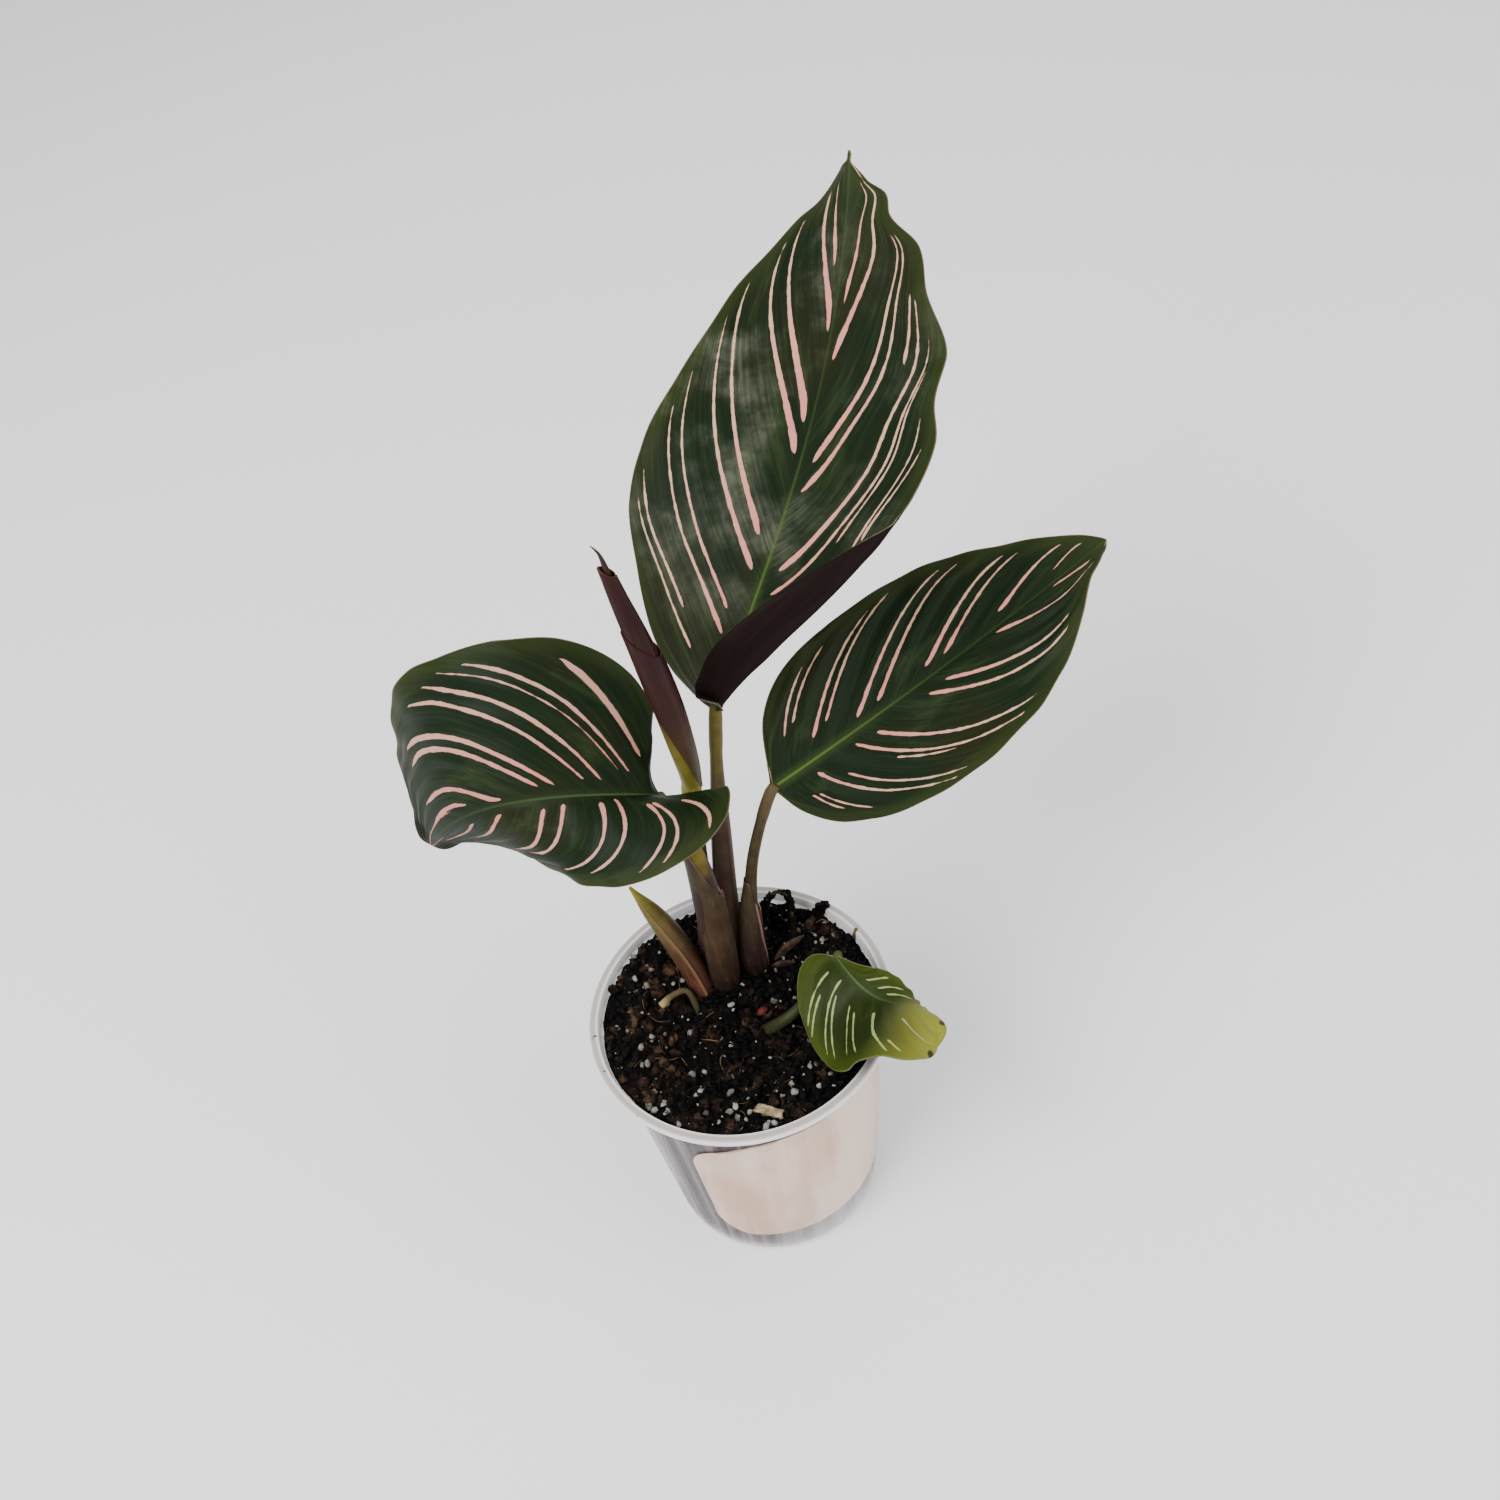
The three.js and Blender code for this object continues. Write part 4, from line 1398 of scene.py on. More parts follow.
@dataclass
class Foliage:
    """The four open leaf blades: two dark ones, the tall one with a bloom and painted sheen, a pinker one and
    a young one.
    """

    effects: Effects
    dark: LeafFinish = LeafFinish()
    pinker: LeafFinish = LeafFinish(
        # The left leaf's tip, where it curls under, is painted near black as painted shade.
        tip=srgb(18, 19, 17), tip_share=0.85, tip_from=0.93, rib=srgb(58, 78, 42), rib_fade=0.9,
        stripe_start=srgb(190, 122, 114), stripe_end=srgb(188, 142, 126),
    )
    young: LeafFinish = LeafFinish(
        deep=srgb(22, 36, 12), warm=srgb(36, 46, 13), cloud=srgb(54, 68, 30),
        edge=srgb(66, 78, 18), edge_reach=6.0, tip=srgb(140, 140, 52), tip_share=0.9, tip_from=0.55,
        spots=((36.6, -17.7, 65.5), (32.7, -24.4, 66.9)), rib=srgb(74, 92, 54), rib_fade=0.9,
        stripe_start=srgb(148, 160, 106), stripe_end=srgb(146, 158, 98), gloss=0.4,
    )
    # How much grey bloom and painted sheen the tall leaf has.
    bloom_and_sheen: float = 0.6

    def build(self) -> None:
        """Makes and dresses the blades."""
        for blade, finish in (
            (TALL_LEAF, replace(self.dark, dust_and_sheen=self.bloom_and_sheen)),
            (RIGHT_LEAF, self.dark),
            (LEFT_LEAF, self.pinker),
            (SMALL_LEAF, self.young),
        ):
            faces = [finish.upper(blade, self.effects), finish.lower(blade, self.effects)]
            blade.build([*faces, finish.margin(blade)])


# The stems, the rolled leaf, the shoot and the stub


@dataclass(frozen=True)
class StemFinish:
    """A stem's colours from its foot to its top, with streaks, dark patches and a rolled piece's margin."""

    name: str
    stops: Stops
    streak: Colour = srgb(104, 88, 68)
    streak_share: float = 0.3
    gloss: float = 0.42
    margin: Colour | None = None
    shade: Colour = srgb(24, 17, 16)

    def make(self) -> Material:
        """Makes the material.

        Returns:
            The material.
        """
        surface = Surface(self.name)
        g = surface.graph
        around, along = g.uv("along")
        streaks = g.noise(g.join(g.times(around, 26.0), g.times(along, 5.0)), 1.0, 3.0, 0.6)
        patches = g.noise(g.place(), 260.0, 3.0)
        shifted = g.math("ADD", along, g.times(g.math("SUBTRACT", patches, 0.5), 0.12))
        colour = g.ramp(shifted, self.stops)
        colour = g.mix(g.span(streaks, 0.48, 0.72, 0.0, self.streak_share), colour, self.streak)
        colour = g.mix(g.span(patches, 0.35, 0.65, 0.3, 0.0), colour, self.shade)
        if self.margin:
            colour = g.mix(g.span(around, 0.96, 0.985, 0.0, 0.75), colour, self.margin)
        roughness = g.span(patches, 0.3, 0.7, self.gloss - 0.06, self.gloss + 0.08)
        surface.set(base_color=colour, roughness=roughness, specular_ior_level=0.1)
        surface.bump((streaks, 0.06))
        return surface.material


class Tone(Enum):
    """The colours that the stems run through."""

    PLUM = srgb(52, 38, 36)
    DARK_PLUM = srgb(52, 39, 37)
    UMBER = srgb(64, 55, 38)
    EARTH = srgb(30, 20, 17)
    RUST = srgb(72, 42, 34)
    OLIVE_BROWN = srgb(78, 66, 42)
    OLIVE = srgb(94, 86, 38)
    YELLOW_OLIVE = srgb(112, 100, 30)
    YELLOW_GREEN = srgb(124, 118, 40)
    GREEN = srgb(62, 74, 34)
    DARK_GREEN = srgb(44, 50, 28)
    BURGUNDY = srgb(36, 10, 11)
    WINE = srgb(44, 20, 14)
    BARK = srgb(64, 49, 36)
    DUSK = srgb(74, 57, 48)
    PINK = srgb(150, 110, 104)
    STRAW = srgb(170, 156, 96)


def stops(*pairs: tuple[float, Tone]) -> Stops:
    """Turns places and tones into ramp stops."""
    return tuple((place, tone.value) for place, tone in pairs)


@dataclass(frozen=True)
class Stalk:
    """One leaf's stalk, with the points and radii of its path and its colours along it."""

    leaf: str
    points: tuple[Triple, ...]
    radii: tuple[float, ...]
    stops: Stops


@dataclass
class Stems:
    """The five leaf stalks, with the swollen joint under each blade."""

    stalks: tuple[Stalk, ...] = (
        Stalk(
            "tall_leaf",
            (
                (0, 12.6, 47), (0.3, 13.2, 58), (1.6, 15.8, 73),
                (3.2, 17.4, 88), (5.5, 18.6, 108), (7.3, 18.4, 120.8),
            ),
            (2.3, 2.4, 2.3, 1.95, 1.2, 1.1),
            stops(
                (0.13, Tone.EARTH), (0.28, Tone.DUSK), (0.55, Tone.DUSK),
                (0.76, Tone.OLIVE_BROWN), (0.88, Tone.OLIVE),
            ),
        ),
        Stalk(
            "right_leaf",
            (
                (4, 11.2, 47), (4.7, 11.9, 60), (7.1, 12.9, 80),
                (9.8, 11.4, 93), (13.9, 11.8, 104), (15, 12.1, 105.4),
            ),
            (2.4, 2.3, 1.4, 1.15, 1.05, 1.0),
            stops((0.13, Tone.EARTH), (0.3, Tone.PLUM), (0.5, Tone.UMBER), (0.95, Tone.OLIVE_BROWN)),
        ),
        Stalk(
            "left_leaf",
            (
                (-2.5, 8.4, 47), (-2.4, 9, 56), (-2, 10.2, 75),
                (-1.9, 11.4, 88), (-3.2, 12.8, 97), (-5.8, 13.3, 107.2),
            ),
            (1.5, 1.7, 2.5, 2.7, 1.6, 1.1),
            stops(
                (0.13, Tone.EARTH), (0.3, Tone.PLUM), (0.66, Tone.DARK_PLUM), (0.73, Tone.YELLOW_OLIVE),
                (0.95, Tone.GREEN),
            ),
        ),
        Stalk(
            "small_leaf",
            (
                (2.6, 3.5, 46), (3.2, -1.5, 51), (5.2, -3.7, 54.8), (9.5, -4, 58),
                (15.5, -1, 61), (19.8, 1.4, 65), (20.6, -0.6, 69.6),
            ),
            (1.3, 1.3, 1.3, 1.1, 1, 0.9, 0.8),
            stops((0.0, Tone.EARTH), (0.4, Tone.DARK_GREEN), (0.7, Tone.DARK_GREEN), (0.9, Tone.GREEN)),
        ),
        Stalk(
            "furled_leaf",
            ((-4.7, 13.8, 47), (-4.5, 14.2, 58), (-2.2, 16.4, 78), (-0.8, 16.8, 95), (0.2, 16, 106.5)),
            (1.8, 1.8, 1.6, 1.5, 1.7),
            stops((0.0, Tone.PLUM), (0.6, Tone.PLUM), (0.85, Tone.OLIVE), (0.95, Tone.YELLOW_GREEN)),
        ),
    )
    sides: int = 24
    rings: int = 70

    def build(self) -> None:
        """Makes and dresses the stalks."""
        for stalk in self.stalks:
            name = f"{stalk.leaf}_stalk"
            mesh = bar(Path(stalk.points, stalk.radii), self.sides, self.rings, self.jointed)
            finished(mesh, name, [StemFinish(name, stalk.stops).make()], [f"{stalk.leaf}_petiole"])

    @staticmethod
    def jointed(turn: float, t: float) -> float:
        """Swells the top of a stalk slightly and grooves its upper side.

        Args:
            turn: the angle round the stalk, in radians.
            t: the share of its length.

        Returns:
            What its radius is multiplied by.
        """
        swelling = 0.12 * smooth(t, 0.84, 0.9) * (1 - smooth(t, 0.97, 1))
        groove = 0.08 * math.exp(-((math.remainder(turn, TURN) / 0.5) ** 2))
        return 1 + swelling - groove * smooth(t, 0.35, 0.5)


@dataclass
class Sheaths:
    """The clasping bases of the left and the right leaf's stalks, with the colours along them."""

    left: Roll = Roll(
        Path(
            (
                (-2.3, 8.4, 49), (-2, 9, 56), (-1.5, 10, 70),
                (-1.5, 10.9, 80), (-1.9, 11.7, 90), (-2.7, 12.4, 95),
            ),
            (3.0, 3.2, 3.3, 3.1, 2.95, 2.1),
        ),
        turns=(1.3, 1.35, 1.3),
        margin=(0.3, 0.3, 0.3),
        top=(0.87, 0.2),
    )
    right: Roll = Roll(
        Path(((3.8, 11.2, 49), (4.4, 11.9, 60), (5.6, 12.5, 70), (6.9, 12.9, 80)), (2.9, 3.1, 2.5, 1.25)),
        turns=(1.2, 1.25, 1.2),
        margin=(0.3, 0.24, 0.16, 0.1),
        tightness=0.1,
        top=(0.93, 0.2),
    )
    left_stops: Stops = stops((0.13, Tone.EARTH), (0.4, Tone.BARK), (0.6, Tone.BARK), (0.9, Tone.UMBER))
    right_stops: Stops = stops((0.2, Tone.EARTH), (0.45, Tone.PLUM), (0.8, Tone.UMBER))
    edge_stops: Stops = stops((0.0, Tone.RUST), (0.5, Tone.PINK), (1.0, Tone.PINK))
    thickness: float = 0.3

    def build(self) -> None:
        """Makes and dresses the sheaths."""
        for name, roll, colours in (
            ("left_sheath", self.left, self.left_stops),
            ("right_sheath", self.right, self.right_stops),
        ):
            skin = StemFinish(f"{name}_skin", colours, streak_share=0.25, margin=Tone.PINK.value)
            edge = StemFinish(f"{name}_edge", self.edge_stops, streak_share=0.1)
            roll.build(name, "stem", [skin, edge], self.thickness)


@dataclass
class NewGrowth:
    """The rolled new leaf, the young shoot and the stub of an old stalk, in millimetres."""

    furled_line: tuple[Triple, ...] = (
        (0.3, 15.8, 105.9), (0.4, 14, 113), (-0.5, 12.5, 130),
        (-1.8, 12, 142), (-3.9, 11.9, 155.6), (-4.6, 11.9, 160.6),
    )
    core_radii: tuple[float, ...] = (1.75, 2.3, 2.6, 2.45, 1.95, 1.2)
    core_thickness: float = 0.26
    wrap_radii: tuple[float, ...] = (1.95, 2.55, 2.85, 2.7, 2.2, 1.5)
    wrap_thickness: float = 0.24
    tail: Path = Path(
        ((-4.3, 11.7, 158.8), (-4.5, 11.7, 161.2), (-4.9, 11.8, 163.2), (-5.8, 11.9, 164.8)),
        (0.6, 0.45, 0.28, 0.08),
    )
    shoot: Roll = Roll(
        Path(
            (
                (-5.8, 6.6, 50), (-6.4, 7.8, 54.5), (-8.3, 11.2, 61.2),
                (-11.6, 15.2, 68.8), (-16.6, 19.8, 76.9),
            ),
            (2.3, 2.6, 2.75, 2.65, 1.95, 0.2),
        ),
        turns=(1.3, 1.35, 1.3),
        margin=(0.06, 0.05, 0.03, -0.02, -0.06),
    )
    shoot_thickness: float = 0.3
    stub: Path = Path(
        ((-8.6, 3.6, 51.5), (-8.8, 4.8, 56), (-10, 6.2, 58.6), (-12.8, 6, 58.2), (-15.4, 5, 57)),
        (0.7, 0.65, 0.6, 0.6, 0.8),
    )

    def build(self) -> None:
        """Makes and dresses the new growth."""
        self.build_furled_leaf()
        self.build_shoot()
        self.build_stub()

    def build_furled_leaf(self) -> None:
        """Makes the rolled leaf: its core, the outer wrap and the thin tail at its tip."""
        shared = {"streak": srgb(84, 38, 28), "streak_share": 0.25, "gloss": 0.4}
        core_stops = stops(
            (0.0, Tone.YELLOW_GREEN), (0.3, Tone.OLIVE), (0.45, Tone.WINE), (0.8, Tone.BURGUNDY),
            (1.0, Tone.WINE),
        )
        wrap_stops = stops((0, Tone.OLIVE_BROWN), (0.16, Tone.UMBER), (0.4, Tone.WINE), (0.7, Tone.BURGUNDY))
        edge_stops = stops((0.0, Tone.STRAW), (0.35, Tone.OLIVE), (0.5, Tone.RUST), (1.0, Tone.RUST))
        edge = StemFinish("furled_edge", edge_stops)
        core = Roll(
            Path(self.furled_line, self.core_radii),
            turns=(1.6, 1.7, 1.7),
            margin=(0.3, 0.2, 0.1, 0.12, 0.18, 0.24),
            tightness=0.13,
            top=(0.98, 0.02),
            around=120,
        )
        skin = StemFinish("furled_core_skin", core_stops, **shared)
        core.build("furled_leaf_core", "furled_leaf", [skin, edge], self.core_thickness, ["furled_leaf"])
        wrap = Roll(
            Path(self.furled_line, self.wrap_radii),
            turns=(1.1, 1.1, 1.1),
            margin=(0.6, 0.6, 0.6),
            tightness=0.05,
            bottom=(0.22, 0.25),
            top=(0.7, 0.06),
        )
        skin = StemFinish("furled_wrap_skin", wrap_stops, **shared)
        wrap.build("furled_leaf_wrap", "furled_leaf", [skin, edge], self.wrap_thickness)
        tail = StemFinish("furled_tail", stops((0.0, Tone.WINE), (1.0, Tone.DARK_PLUM)))
        finished(bar(self.tail, sides=10, steps=16), "furled_leaf_tail", [tail.make()])

    def build_shoot(self) -> None:
        """Makes the young shoot."""
        skin_stops = stops(
            (0.0, Tone.EARTH), (0.3, Tone.RUST), (0.62, Tone.OLIVE_BROWN), (0.82, Tone.OLIVE),
            (0.95, Tone.YELLOW_GREEN),
        )
        edge_stops = stops((0.0, Tone.RUST), (0.4, Tone.PINK), (0.8, Tone.STRAW))
        skin = StemFinish("shoot_skin", skin_stops, srgb(112, 72, 50), 0.4, 0.4, margin=srgb(112, 84, 54))
        edge = StemFinish("shoot_edge", edge_stops, srgb(176, 140, 110))
        self.shoot.build("young_shoot_sheath", "shoot", [skin, edge], self.shoot_thickness, ["young_shoot"])

    def build_stub(self) -> None:
        """Makes the stub of an old stalk."""
        colours = stops((0.0, Tone.DARK_GREEN), (0.5, Tone.UMBER), (0.8, Tone.OLIVE_BROWN), (1.0, Tone.STRAW))
        dry = StemFinish("stub_skin", colours, gloss=0.55)
        finished(bar(self.stub, sides=14, steps=30), "old_stub_stalk", [dry.make()], ["old_stub"])


# The pot with its label


def arc(middle: Pair, radius: float, first: float, last: float, steps: int) -> list[Pair]:
    """Lists points round a middle, from a first to a last angle in quarter turns."""
    angles = [(first + (last - first) * k / steps) * TURN / 4 for k in range(steps + 1)]
    return [(middle[0] + radius * math.cos(angle), middle[1] + radius * math.sin(angle)) for angle in angles]


@dataclass(eq=False)
class Label:
    """The blank label, by how it lies on the wall, in millimetres and degrees from the X axis."""

    bottom: float = 10
    top: float = 54
    middle: float = -67.5
    half: float = 56.5
    sag: float = 5.0
    corner: float = 0.42
    away: float = 0.37
    thickness: float = 0.2
    columns: int = 110
    rows: int = 50

    def place(self, across: float, up: float, wall_radius: Callable[[float], float]) -> Vector:
        """Gives the place of a point of the label.

        Args:
            across: from -1 at its left edge to 1 at its right one.
            up: from -1 at its lower edge to 1 at its upper one.
            wall_radius: gives the wall's radius at a height.

        Returns:
            The point in metres.
        """
        v = math.sin(up * TURN / 4)
        into = max(0.0, abs(v) - (1 - self.corner)) / self.corner
        narrowing = self.corner * 0.8 * (1 - math.sqrt(1 - min(into, 0.999) ** 2))
        angle = math.radians(self.middle + self.half * across * (1 - narrowing))
        half = (self.top - self.bottom) / 2
        z = self.bottom + half + half * v - self.sag * across**2 * (0.5 + 0.5 * v)
        ripple = 0.05 * noise.noise(Vector((angle * 3, z * 0.06, 0)))
        lifted = 0.12 * smooth(abs(across), 0.97, 1) * (0.5 + noise.noise(Vector((z * 0.2, 0, 3))))
        radius = wall_radius(z) + self.away + ripple + max(0.0, lifted)
        return Vector((radius * math.cos(angle), radius * math.sin(angle), z)) * MM

    def build(self, wall_radius: Callable[[float], float]) -> None:
        """Wraps the label round the wall.

        Args:
            wall_radius: gives the wall's radius at a height.
        """
        mesh = bmesh.new()
        bmesh.ops.create_grid(mesh, x_segments=self.columns, y_segments=self.rows, size=1)
        for vert in mesh.verts:
            vert.co = self.place(vert.co.x, vert.co.y, wall_radius)
        bmesh.ops.recalc_face_normals(mesh, faces=mesh.faces)
        if sum(face.normal.dot(face.calc_center_median().xy.to_3d()) for face in mesh.faces) < 0:
            bmesh.ops.reverse_faces(mesh, faces=mesh.faces)
        piece = finished(mesh, "label_sheet", [self.paper()], ["pot_label"])
        thicken(piece, self.thickness)

    @staticmethod
    def paper() -> Material:
        """Makes the label's lightly coated paper, with soft vertical bands of painted shade and painted
        reflection.

        Returns:
            The material.
        """
        surface = Surface("label_paper")
        g = surface.graph
        place = g.place()
        x, _, z = g.split(place)
        cloud, fibre = g.noise(place, 45.0), g.noise(place, 2400.0, 3.0, 0.6)
        # Painted shade and painted reflection: soft vertical bands, darker and pinker in places.
        painted_light_bands = g.noise(g.join(g.times(x, 110.0), 0.0, g.times(z, 16.0)), 1.0)
        colour = g.mix(g.span(painted_light_bands, 0.36, 0.64), srgb(190, 148, 120), srgb(218, 190, 166))
        colour = g.mix(g.span(cloud, 0.4, 0.7, 0.0, 0.3), colour, srgb(226, 216, 206))
        colour = g.mix(g.span(fibre, 0.55, 0.8, 0.0, 0.12), colour, srgb(206, 196, 182))
        surface.set(base_color=colour, roughness=g.span(cloud, 0.3, 0.7, 0.34, 0.42), coat_weight=0.15)
        surface.bump((fibre, 0.008))
        return surface.material


@dataclass
class Pot:
    """The clear nursery pot, turned from its profile, with its sizes in millimetres.

    Attributes:
        shoulder_radius: the wall's radius at the top without its flare.
        flare: how much wider the wall gets below its lip.
        flare_from: the height from which it does.
        corner: the radius of the corner round the foot.
        wall_heights: the heights at which the wall's outline has a corner.
        hole_ring: how far from the middle the drain holes lie.
    """

    height: float = 59
    bottom_radius: float = 22
    shoulder_radius: float = 27
    lip_radius: float = 30
    lip_thickness: float = 1.4
    wall: float = 0.8
    flare: float = 1.8
    flare_from: float = 50
    floor: float = 1.2
    corner: float = 3
    wall_heights: tuple[float, ...] = (12, 24, 36, 48, 52, 53, 54, 55, 56, 57)
    hole_count: int = 5
    hole_radius: float = 2
    hole_ring: float = 12
    sides: int = 144
    label: Label = Label()

    def wall_radius(self, z: float) -> float:
        """Gives the outer radius of the wall at a height, in millimetres."""
        straight = self.bottom_radius + (self.shoulder_radius - self.bottom_radius) * z / self.height
        return straight + self.flare * smooth(z, self.flare_from, self.height - self.lip_thickness)

    def profile(self) -> list[Pair]:
        """Lists the wall's outline from the middle of the underside to the middle of the floor.

        Returns:
            Each corner's distance from the axis and height, in millimetres.
        """
        foot = self.wall_radius(self.corner) - self.corner
        under, round_lip = self.height - self.lip_thickness, 0.55 * self.lip_thickness
        inner = self.wall_radius(self.height) - self.wall
        inner_corner = self.corner - self.floor
        inner_foot = self.wall_radius(self.corner) - self.wall - inner_corner
        return [
            (0.0, 0.0),
            *arc((foot, self.corner), self.corner, -1, 0, 6),
            *((self.wall_radius(z), z) for z in self.wall_heights),
            (self.wall_radius(under) + 0.3, under),
            *arc((self.lip_radius - round_lip, self.height - round_lip), round_lip, -1, 1, 8),
            (inner + 0.4, self.height),
            (inner + 0.12, self.height - 0.15),
            (inner, self.height - 0.5),
            *((self.wall_radius(z) - self.wall, z) for z in reversed(self.wall_heights)),
            *arc((inner_foot, self.corner), inner_corner, 0, -1, 6),
            (0.0, self.floor),
        ]

    def build(self) -> None:
        """Makes the pot with its drain holes, and the label."""
        mesh = turned(self.profile(), self.sides)
        self.drill(finished(mesh, "pot_body", [self.plastic()], ["pot"]))
        self.label.build(self.wall_radius)

    def drill(self, piece: Piece) -> None:
        """Cuts the drain holes through the floor.

        Args:
            piece: the pot.
        """
        mesh = bmesh.new()
        radius = self.hole_radius * MM
        for k in range(self.hole_count):
            angle = k / self.hole_count * TURN
            place = Matrix.Translation(Vector((math.cos(angle), math.sin(angle), 0)) * self.hole_ring * MM)
            bmesh.ops.create_cone(
                mesh, cap_ends=True, segments=28, radius1=radius, radius2=radius,
                depth=5 * self.floor * MM, matrix=place,
            )
        drills = linked("drills", as_data(mesh, "drills"))
        cut = piece.modifiers.new("drain", "BOOLEAN")
        cut.object = drills
        cut.operation = "DIFFERENCE"
        cut.solver = "EXACT"
        bpy.context.view_layer.update()
        drilled = bpy.data.meshes.new_from_object(piece.evaluated_get(bpy.context.evaluated_depsgraph_get()))
        piece.modifiers.clear()
        piece.data = drilled
        bpy.data.objects.remove(drills)
        for polygon in drilled.polygons:
            polygon.use_smooth = True
        drilled.set_sharp_from_angle(angle=math.radians(40))

    @staticmethod
    def plastic() -> Material:
        """Makes the milky clear plastic, greyer and denser at its lip.

        Returns:
            The material.
        """
        lip_middle = 0.0291
        surface = Surface("milky_plastic")
        g = surface.graph
        place = g.place()
        x, y, height = g.split(place)
        cloud = g.noise(place, 60.0)
        angle = g.math("ARCTAN2", y, x)
        streaks = g.noise(g.join(g.times(angle, 9.0), 0.0, g.times(height, 12.0)), 1.0, 3.0, 0.6)
        lip = g.span(height, 0.0566, 0.0578)
        foot = g.span(height, 0.008, 0.001, 0.0, 0.35)
        body = g.span(streaks, 0.36, 0.66, 0.38, 0.55)
        alpha = g.math("ADD", g.math("ADD", body, foot), g.times(lip, 0.7), clamp=True)
        colour = g.mix(g.span(streaks, 0.35, 0.65), srgb(92, 80, 86), srgb(150, 140, 146))
        glare = g.math("MAXIMUM", g.span(x, -0.01, 0.012), g.span(height, 0.006, 0.002))
        colour = g.mix(glare, colour, srgb(206, 202, 204))
        reach = g.math("SQRT", g.math("ADD", g.times(x, x), g.times(y, y)))
        edge = g.span(g.math("ABSOLUTE", g.math("SUBTRACT", reach, lip_middle)), 0.0003, 0.0008)
        rim = g.mix(edge, srgb(172, 164, 160), srgb(226, 221, 220))
        specks = g.times(g.span(g.noise(place, 700.0, 2.0), 0.66, 0.74), g.span(cloud, 0.5, 0.6))
        colour = g.mix(lip, colour, g.mix(specks, rim, srgb(74, 58, 46)))
        surface.set(base_color=colour, roughness=0.3, alpha=alpha, ior=1.49, specular_ior_level=0.3)
        surface.set(coat_weight=g.span(cloud, 0.2, 0.8, 0.05, 0.15), coat_roughness=0.12)
        surface.bump((streaks, 0.03))
        return surface.material


# The potting mix


def gnarled(turn: float, t: float) -> float:
    """Makes a dry stalk uneven."""
    return 1 + 0.25 * noise.noise(Vector((turn, t * 9, 1)))


def flattened(turn: float, t: float) -> float:
    """Flattens a bar into a thin scale with pointed ends."""
    return (0.2 + 0.8 * abs(math.sin(turn))) * max(0.05, math.sin(math.pi * t)) ** 0.6


def dry(name: str, dark: Colour, pale: Colour) -> Material:
    """Makes the finish of a dry bit of plant, mottled between two colours.

    Args:
        name: the material's name.
        dark: the darker colour.
        pale: the paler one.

    Returns:
        The material.
    """
    surface = Surface(name)
    g = surface.graph
    tone, grain = g.noise(g.place(), 420.0), g.noise(g.place(), 1800.0, 2.0)
    colour = g.mix(g.span(tone, 0.36, 0.64), dark, pale)
    surface.set(base_color=colour, roughness=0.75, specular_ior_level=0.2)
    surface.bump((grain, 0.06))
    return surface.material


